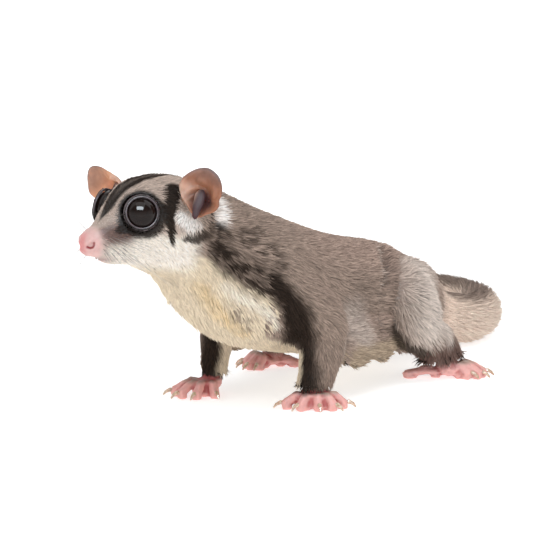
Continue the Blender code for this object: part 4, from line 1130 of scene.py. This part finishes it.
lid_look = bpy.data.materials.new("lid_skin")
tree, shader = shader_of(lid_look)
shader.inputs["Roughness"].default_value = 0.42
shader.inputs["Subsurface Weight"].default_value = 0.15
shader.inputs["Subsurface Scale"].default_value = 0.0008
blotches = noise_on(tree, Scale=1100.0, Detail=4.0)
two_tones(tree, shader, blotches, shade(44, 36, 37), shade(98, 84, 90), 0.3, 0.75)
creased(tree, shader, 2600.0, 0.3, 0.0001)


def eyeball(name):
    """A ball about the origin that swells a little in front, towards +Z."""
    bpy.ops.object.select_all(action="DESELECT")
    bpy.ops.mesh.primitive_uv_sphere_add(segments=64, ring_count=40, radius=EYE_RADIUS * MM)
    made = bpy.context.object
    made.name = name
    bpy.ops.object.mode_set(mode="EDIT")
    work = bmesh.from_edit_mesh(made.data)
    for vertex in work.verts:
        height = max(vertex.co.z / (EYE_RADIUS * MM) - EYE_FRONT_SHARE, 0)
        vertex.co.z += height * EYE_SWELL * MM
    bmesh.update_edit_mesh(made.data)
    bpy.ops.object.mode_set(mode="OBJECT")
    return made


def lid_rim(name):
    """A soft uneven rim about the origin that spreads and slopes away on its outer side."""
    bpy.ops.object.select_all(action="DESELECT")
    bpy.ops.mesh.primitive_torus_add(major_radius=LID_RADIUS * MM, minor_radius=LID_THICKNESS * MM,
                                     major_segments=96, minor_segments=20)
    made = bpy.context.object
    made.name = name
    bpy.ops.object.mode_set(mode="EDIT")
    work = bmesh.from_edit_mesh(made.data)
    for vertex in work.verts:
        angle = math.atan2(vertex.co.y, vertex.co.x)
        flat = Vector((vertex.co.x, vertex.co.y, 0))
        outer = flat.length / (LID_RADIUS * MM) - 1
        vertex.co.z *= 1 + 0.10 * math.sin(angle * 2 + 0.6) + 0.05 * math.sin(angle * 5)
        if outer > 0:
            vertex.co.x *= 1 + outer * LID_SPREAD
            vertex.co.y *= 1 + outer * LID_SPREAD
            vertex.co.z -= outer * LID_SLOPE * MM
    bmesh.update_edit_mesh(made.data)
    bpy.ops.object.mode_set(mode="OBJECT")
    return made


for side, side_name in ((1, "left"), (-1, "right")):
    centre, gaze = eye_place(side)
    turn = Vector(gaze).to_track_quat("Z", "Y").to_matrix().to_4x4()
    eye = eyeball("eyeball_" + side_name)
    eye.data.transform(Matrix.Translation(at(centre)) @ turn)
    eye.data.shade_smooth()
    eye.data.materials.append(eye_look)
    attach(eye, "root")
    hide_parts("eye_" + side_name)

    lid = lid_rim("lid_" + side_name)
    lid.data.transform(Matrix.Translation(at(centre + gaze * LID_LIFT)) @ turn)
    lid.data.shade_smooth()
    lid.data.materials.append(lid_look)
    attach(lid, "root")


# The ears
# Each ear is a thin, almost bare cup of skin with a soft rim, deeper folds at its mouth and
# a rounded inner lobe. Light shows through it, and a soft root joins it to the head.

EAR_THICKNESS = 0.5
EAR_DEPTH = 6.5
EAR_RINGS, EAR_STEPS = 34, 6
EARS = {
    "left": dict(
        side=1, root=(26.5, 16.6, 8.0), opening=math.radians(35), lean=math.radians(24),
        throat=(-0.4, 2.2),
        stalk=(2.8, 3.8, 4.2), stalk_end=(29.0, 6.0, 7.0),
        rim=[(0.1, -0.9), (3.0, 1.2), (5.3, 3.2), (6.5, 5.4), (6.1, 7.9), (4.8, 10.0), (3.0, 11.7),
             (1.0, 12.7), (-1.0, 12.7), (-3.1, 11.8), (-4.7, 9.9), (-5.6, 7.4), (-5.4, 5.7),
             (-5.9, 4.0), (-5.2, 2.2), (-3.6, 0.8), (-1.8, -0.9)]),
    "right": dict(
        side=-1, root=(25.0, -18.0, 8.0), opening=0.0, lean=math.radians(52),
        throat=(0.6, 3.6),
        stalk=(0.6, 3.6, 8.5), stalk_end=(33.0, -6.5, 4.0),
        rim=[(-1.5, 1.0), (2.5, 0.5), (5.0, 1.6), (5.3, 3.4), (4.5, 5.4), (3.4, 7.8), (2.4, 10.2),
             (1.0, 12.7), (-0.8, 14.5), (-3.0, 15.2), (-5.4, 14.4), (-7.2, 12.6), (-8.0, 10.6),
             (-7.4, 8.2), (-6.4, 5.6), (-4.6, 2.8)]),
}
# Raised folds and hollows inside each cup: places across and up, then width and height
EAR_FOLDS = [
    ([(4.4, 3.0), (3.6, 5.0), (1.8, 6.2), (-0.2, 6.0), (-1.6, 4.4)], 0.6, 1.5),
    ([(3.2, 2.0), (2.3, 3.6), (1.0, 4.4)], 0.5, 1.1),
    ([(3.0, 7.8), (1.0, 8.4), (-1.2, 7.8)], 0.9, 0.5),
    ([(-2.0, 9.4), (-3.4, 6.6), (-3.2, 3.4)], 0.9, 0.9),
    ([(-2.6, 5.4), (-2.5, 2.8), (-1.8, 1.2)], 0.8, -1.2),
    ([(4.6, 6.0), (3.8, 7.6), (2.6, 9.2)], 0.8, -0.4),
]
# The lobe and the soft root: places along them, and how wide they are there
INNER_LOBE = [(0.3, 6.0, 2.4, 0.8), (0.1, 4.9, 1.4, 1.5), (-0.3, 3.5, 0.5, 1.5), (-0.5, 1.9, -0.3, 1.35),
              (-0.8, 0.5, -0.8, 1.0), (-1.0, -0.5, -1.1, 0.85), (-1.1, -1.1, -1.15, 0.6),
              (-1.1, -1.35, -1.2, 0.3)]
LOBE_LIFT, FAR_LOBE_DEEPER, LOBE_FLATNESS = 0.6, 2.0, 0.5
ROOT_WIDTHS = ((0.0, 1.6), (0.12, 2.5), (0.35, 3.0), (0.6, 3.7), (0.8, 4.4), (1.0, 4.8))

ear_look = bpy.data.materials.new("ear_skin")
tree, shader = shader_of(ear_look)
shader.inputs["Roughness"].default_value = 0.62
shader.inputs["Specular IOR Level"].default_value = 0.25
shader.inputs["Subsurface Weight"].default_value = 0.35
shader.inputs["Subsurface Radius"].default_value = (1.0, 0.4, 0.25)
shader.inputs["Subsurface Scale"].default_value = 0.0015
veins = noise_on(tree, Scale=420.0, Detail=7.0, Distortion=0.6)
painted(tree, shader, "ear_colour", veins, 0.70, 1.26)
creased(tree, shader, 1700.0, 0.3, 0.00012)

EAR_BROWN = shade(150, 102, 76)
EAR_PALE = shade(204, 170, 152)
EAR_EDGE = shade(92, 82, 84)
EAR_PURPLE = shade(92, 62, 66)
LOBE_DARK = shade(66, 42, 46)
EAR_ORANGE = shade(206, 150, 114)
ROOT_GREY = shade(186, 168, 158)


def ear_axes(side, root, opening, lean):
    """The way an ear faces, rises and runs inwards, and its root."""
    face = HEAD_LEFT * (math.sin(opening) * side) - HEAD_BACK * math.cos(opening)
    rise = HEAD_LEFT * (math.sin(lean) * side) + UP * math.cos(lean)
    rise = unit(rise - face * (rise @ face))
    return face, rise, np.cross(face, rise) * side, head_spot(*root)


def cup_rings(shape):
    """The cup's places across and up from its throat to its rim, and the share of the way out."""
    rim = np.array(shape["rim"] + shape["rim"][:3])
    rim = smooth_route(rim, EAR_STEPS)[EAR_STEPS:-EAR_STEPS - 1]
    throat = np.array(shape["throat"])
    shares = (np.arange(1, EAR_RINGS + 1) / EAR_RINGS)[:, None]
    flat = throat + (rim[None] - throat) * shares[:, :, None]
    return flat.reshape(-1, 2), np.repeat(shares[:, 0], len(rim)), len(rim)


def cup_relief(flat, share):
    """How far each place of the cup stands out: its hollow, folds, waves and rolled rim."""
    folds = np.zeros(len(flat))
    for line, wide, high in EAR_FOLDS:
        gap, along = from_line(flat, [(*spot, 0) for spot in line])
        folds += high * ridge(gap, wide) * np.sin(np.clip(along, 0.08, 0.92) * math.pi)
    wave = (patches(flat + 7, 2.6, 31) - 0.5) * 0.5
    roll = -0.5 * smooth_step(share, 0.9, 1.0)
    return folds + wave + roll - EAR_DEPTH * (1 - share) ** 1.4


def cup_faces(count):
    """The cup's faces, a fan at the throat and then ring by ring."""
    faces = []
    for corner in range(count):
        after = (corner + 1) % count
        faces.append((0, 1 + corner, 1 + after))
        for ring in range(EAR_RINGS - 1):
            low = 1 + ring * count
            faces.append((low + corner, low + count + corner, low + count + after, low + after))
    return faces


def cup_tones(plain, flat, share):
    """The cup's colours: pale inwards, purple at the throat and dark at the rim."""
    tone = np.broadcast_to(plain, flat.shape)
    tone = mix(tone, EAR_PALE, 0.8 * smooth_step(flat[:, 0], 1.0, 5.0) * smooth_step(-flat[:, 1], -9, -5))
    from_throat = np.linalg.norm(flat - np.array([-0.6, 3.0, 0.0]), axis=1)
    tone = mix(tone, EAR_PURPLE, 0.8 * smooth_step(-from_throat, -4.2, -1.5))
    edge = 0.55 * smooth_step(flat[:, 1], 6.5, 12.5) + 0.4 * smooth_step(share, 0.93, 1.0)
    tone = mix(tone, EAR_EDGE, edge)
    return tone * (0.85 + 0.3 * patches(flat + 3, 1.1, 33))[:, None]


for side_name, shape in EARS.items():
    side, throat = shape["side"], shape["throat"]
    face, rise_way, inward, base = ear_axes(side, shape["root"], shape["opening"], shape["lean"])

    def in_ear(across, high, deep):
        """A spot of the ear: inwards and up from its root, and behind its mouth."""
        return base + inward * across + rise_way * high - face * deep

    # The cup
    flat, share, count = cup_rings(shape)
    flat3 = np.column_stack([flat, np.zeros(len(flat))])
    ear_points = (base + np.outer(flat[:, 0], inward) + np.outer(flat[:, 1], rise_way)
                  + np.outer(cup_relief(flat3, share), face))
    ear_points = np.vstack([in_ear(*throat, EAR_DEPTH), ear_points])
    ear = mesh_piece("ear_shell_" + side_name, ear_points, cup_faces(count))
    tone = cup_tones(EAR_BROWN if side > 0 else EAR_ORANGE, flat3, share)
    colour_layer(ear, "ear_colour", np.vstack([EAR_PURPLE, tone]))
    apply(ear, "SOLIDIFY", thickness=EAR_THICKNESS * MM, offset=0.0)
    apply(ear, "BEVEL", width=0.14 * MM, segments=2, limit_method="ANGLE", angle_limit=math.radians(50))
    ear.data.shade_smooth()
    face_outwards(ear)
    ear.data.materials.append(ear_look)
    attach(ear, "root")
    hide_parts("ear_" + side_name)

    # The root, a soft stalk from the head to the back of the cup
    cup_back, in_head = in_ear(*shape["stalk"]), head_spot(*shape["stalk_end"])
    rows = [(*(cup_back * (1 - step) + in_head * step), wide) for step, wide in ROOT_WIDTHS]
    stalk = rounded_tube("ear_root_" + side_name, rows, 24)
    stalk_spots = spots(stalk)
    browner = 0.8 * smooth_step(patches(stalk_spots, 0.8, 35), 0.4, 0.7)
    stalk_tone = mix(np.broadcast_to(ROOT_GREY, stalk_spots.shape), EAR_BROWN, browner)
    colour_layer(stalk, "ear_colour", stalk_tone)
    stalk.data.materials.append(ear_look)
    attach(stalk, "root")

    # The inner lobe
    deeper = FAR_LOBE_DEEPER * (side < 0) - LOBE_LIFT
    rows = [(*in_ear(inner, high, deep + deeper), wide) for inner, high, deep, wide in INNER_LOBE]
    lobe = rounded_tube("ear_lobe_" + side_name, smooth_route(rows, 4), 20, LOBE_FLATNESS, inward)
    lobe_spots = spots(lobe)
    paler = 0.6 * smooth_step((lobe_spots - base) @ inward, 0.2, 1.6)
    lobe_tone = mix(np.broadcast_to(LOBE_DARK, lobe_spots.shape), EAR_PALE * 0.8, paler)
    colour_layer(lobe, "ear_colour", lobe_tone)
    lobe.data.materials.append(ear_look)
    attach(lobe, "root")


# The whiskers
# Stiff tapering hairs stand out of the muzzle in rows, and are longer towards the back.
# They are dark at the root and pale towards the tip.

WHISKER_RADIUS = 0.075
WHISKER_ROWS, WHISKER_COLUMNS = 4, 5
WHISKER_STEPS, WHISKER_SIDES = 8, 6
WHISKER_TAPER, WHISKER_SAG = 0.85, 0.25
WHISKER_ROOT, WHISKER_TIP = shade(90, 76, 70), shade(225, 220, 214)

whisker_look = bpy.data.materials.new("whisker_hair")
tree, shader = shader_of(whisker_look)
shader.inputs["Roughness"].default_value = 0.4
bands = noise_on(tree, Scale=600.0)
painted(tree, shader, "whisker_colour", bands, 0.8, 1.15)


def whisker(start, way, long):
    """One tapering hair that bends back and down towards its tip."""
    sag = unit(HEAD_BACK * 0.8 - UP * 0.6)
    rows = []
    for t in np.linspace(0, 1, WHISKER_STEPS):
        spot = start + way * long * t + sag * long * WHISKER_SAG * t * t
        rows.append((*spot, WHISKER_RADIUS * (1 - WHISKER_TAPER * t)))
    made = rounded_tube("whisker", rows, WHISKER_SIDES)
    t = np.linspace(0, 1, WHISKER_STEPS)[:, None]
    tone = t * WHISKER_TIP + (1 - t) * WHISKER_ROOT
    tone = np.vstack([np.repeat(tone, WHISKER_SIDES, axis=0), tone[:1], tone[-1:]])
    colour_layer(made, "whisker_colour", tone)
    return made


draw = np.random.default_rng(5)
for side, side_name in ((1, "left"), (-1, "right")):
    hairs = []
    for row in range(WHISKER_ROWS):
        for column in range(WHISKER_COLUMNS):
            start = head_spot(4.8 + column * 1.3, side * (3.0 + column * 0.62), 1.6 - row * 1.5)
            found, normal, index, gap = body_tree.find_nearest(at(start))
            start = np.array(found) / MM - SHIFT - np.array(normal) * 0.3
            down = 0.25 + 0.22 * row if side > 0 else 0.42 * row - 0.45
            outwards = HEAD_LEFT * side * (1.0 + draw.uniform(-0.15, 0.15))
            backwards = HEAD_BACK * (-0.35 + 0.3 * (side > 0) + column * 0.16 + draw.uniform(-0.2, 0.2))
            way = unit(outwards + backwards - UP * (down + draw.uniform(-0.12, 0.12)))
            hairs.append(whisker(start, way, draw.uniform(7, 14) + column * 0.6))
    bpy.ops.object.select_all(action="DESELECT")
    for hair in hairs:
        hair.select_set(True)
    bpy.context.view_layer.objects.active = hairs[0]
    bpy.ops.object.join()
    whiskers = hairs[0]
    whiskers.name = "whiskers_" + side_name
    whiskers.data.materials.append(whisker_look)
    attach(whiskers, "root")


# The claws
# Small curved claws of pale horn grow from the ends of the digits. They keep the shape of
# the solids, and are mottled with a little darker horn.

claw_look = bpy.data.materials.new("claw_horn")
tree, shader = shader_of(claw_look)
shader.inputs["Roughness"].default_value = 0.28
shader.inputs["Coat Weight"].default_value = 0.3
shader.inputs["Subsurface Weight"].default_value = 0.2
shader.inputs["Subsurface Scale"].default_value = 0.0006
growth = noise_on(tree, Scale=1300.0, Detail=4.0)
two_tones(tree, shader, growth, shade(176, 140, 116), shade(226, 208, 184), 0.35, 0.7)
bumped(tree, shader, growth.outputs["Fac"], 0.2, 0.0001)
for name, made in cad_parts.items():
    if name.startswith("claw"):
        made.data.materials.clear()
        made.data.materials.append(claw_look)


# The studio
# A plain pale floor under soft lights, glowing a little of itself, seen from in front of the animal's left
# shoulder.

FLOOR_REACH = 6.0
# The floor glows of itself, a painted light that pales the shadows under the animal. Its glow rises between
# two distances from the animal, in metres
GLOW_NEAR, GLOW_FAR = 0.25, 1.1
FLOOR_GLOW_LEAST, FLOOR_GLOW_MOST = 0.62, 1.05

bpy.ops.object.select_all(action="DESELECT")
bpy.ops.mesh.primitive_plane_add(size=FLOOR_REACH * 2, location=(0, 0, 0))
floor = bpy.context.object
floor.name = "studio_floor"
floor_look = bpy.data.materials.new("floor_paper")
tree, shader = shader_of(floor_look)
shader.inputs["Roughness"].default_value = 0.85
shader.inputs["Specular IOR Level"].default_value = 0.15
grain = noise_on(tree, Scale=60.0, Detail=3.0)
two_tones(tree, shader, grain, (0.66, 0.66, 0.66), (0.70, 0.70, 0.70))
shader.inputs["Emission Color"].default_value = (1.0, 1.0, 1.0, 1)
place = node(tree, "ShaderNodeTexCoord")
reach = node(tree, "ShaderNodeVectorMath", operation="LENGTH")
tree.links.new(place.outputs["Object"], reach.inputs[0])
glow = ranged(tree, reach.outputs["Value"], GLOW_NEAR, GLOW_FAR, FLOOR_GLOW_LEAST, FLOOR_GLOW_MOST)
tree.links.new(glow, shader.inputs["Emission Strength"])
floor.data.materials.append(floor_look)

# Pale near the horizon and dimmer overhead, like a room with white walls
world = bpy.data.worlds.new("studio_world")
bpy.context.scene.world = world
world.use_nodes = True
tree = world.node_tree
sky = tree.nodes["Background"]
sky.inputs["Strength"].default_value = 1.0
way_out = tree.nodes.new("ShaderNodeNewGeometry")
parts_of_way = tree.nodes.new("ShaderNodeSeparateXYZ")
tree.links.new(way_out.outputs["Incoming"], parts_of_way.inputs["Vector"])
level = ranged(tree, parts_of_way.outputs["Z"], -0.45, -0.10, 0.22, 1.15)
tree.links.new(level, sky.inputs["Color"])

CAMERA_TARGET = (-6.8, 20.4, 35.0)
CAMERA_AZIMUTH, CAMERA_ELEVATION = math.radians(34), math.radians(10)
CAMERA_DISTANCE = 650.0
CAMERA_SENSOR, CAMERA_LENS = 36.0, 138.27


def round_target(azimuth, elevation, distance):
    """A place round the camera's target, at an azimuth from the animal's front."""
    way = np.array([math.sin(azimuth) * math.cos(elevation), -math.cos(azimuth) * math.cos(elevation),
                    math.sin(elevation)])
    return at(np.array(CAMERA_TARGET) + way * distance)


def soft_light(name, azimuth, elevation, distance, size, power):
    """A soft rectangular light that faces the animal."""
    data = bpy.data.lights.new(name, "AREA")
    data.shape = "RECTANGLE"
    data.size, data.size_y = size
    data.energy = power
    lamp = bpy.data.objects.new(name, data)
    bpy.context.scene.collection.objects.link(lamp)
    lamp.location = round_target(math.radians(azimuth), math.radians(elevation), distance)
    lamp.rotation_euler = (at(CAMERA_TARGET) - lamp.location).to_track_quat("-Z", "Y").to_euler()
    return lamp


LIGHT_FAR, LIGHT_SIZE = 1100, (0.9, 0.9)
glint = soft_light("window_glint", 32, 42, 900, (0.62, 0.34), 20.0)
glint.data.color = (0.84, 0.93, 1.0)
glint.visible_diffuse = False
soft_light("window_light", 35, 62, 1000, LIGHT_SIZE, 5.2)
soft_light("side_light", -55, 45, LIGHT_FAR, LIGHT_SIZE, 2.6)
soft_light("rear_light", 140, 50, LIGHT_FAR, LIGHT_SIZE, 4.0)
soft_light("back_light", 222, 40, LIGHT_FAR, LIGHT_SIZE, 2.0)
fill = soft_light("front_fill", 20, 8, LIGHT_FAR, LIGHT_SIZE, 1.6)
fill.visible_glossy = False

camera_data = bpy.data.cameras.new("camera")
camera_data.sensor_width = CAMERA_SENSOR
camera_data.lens = CAMERA_LENS
camera_data.clip_start = 0.01
camera = bpy.data.objects.new("camera", camera_data)
bpy.context.scene.collection.objects.link(camera)
camera.location = round_target(CAMERA_AZIMUTH, CAMERA_ELEVATION, CAMERA_DISTANCE)
camera.rotation_euler = (at(CAMERA_TARGET) - camera.location).to_track_quat("-Z", "Y").to_euler()
bpy.context.scene.camera = camera
bpy.context.scene.view_settings.view_transform = "Standard"
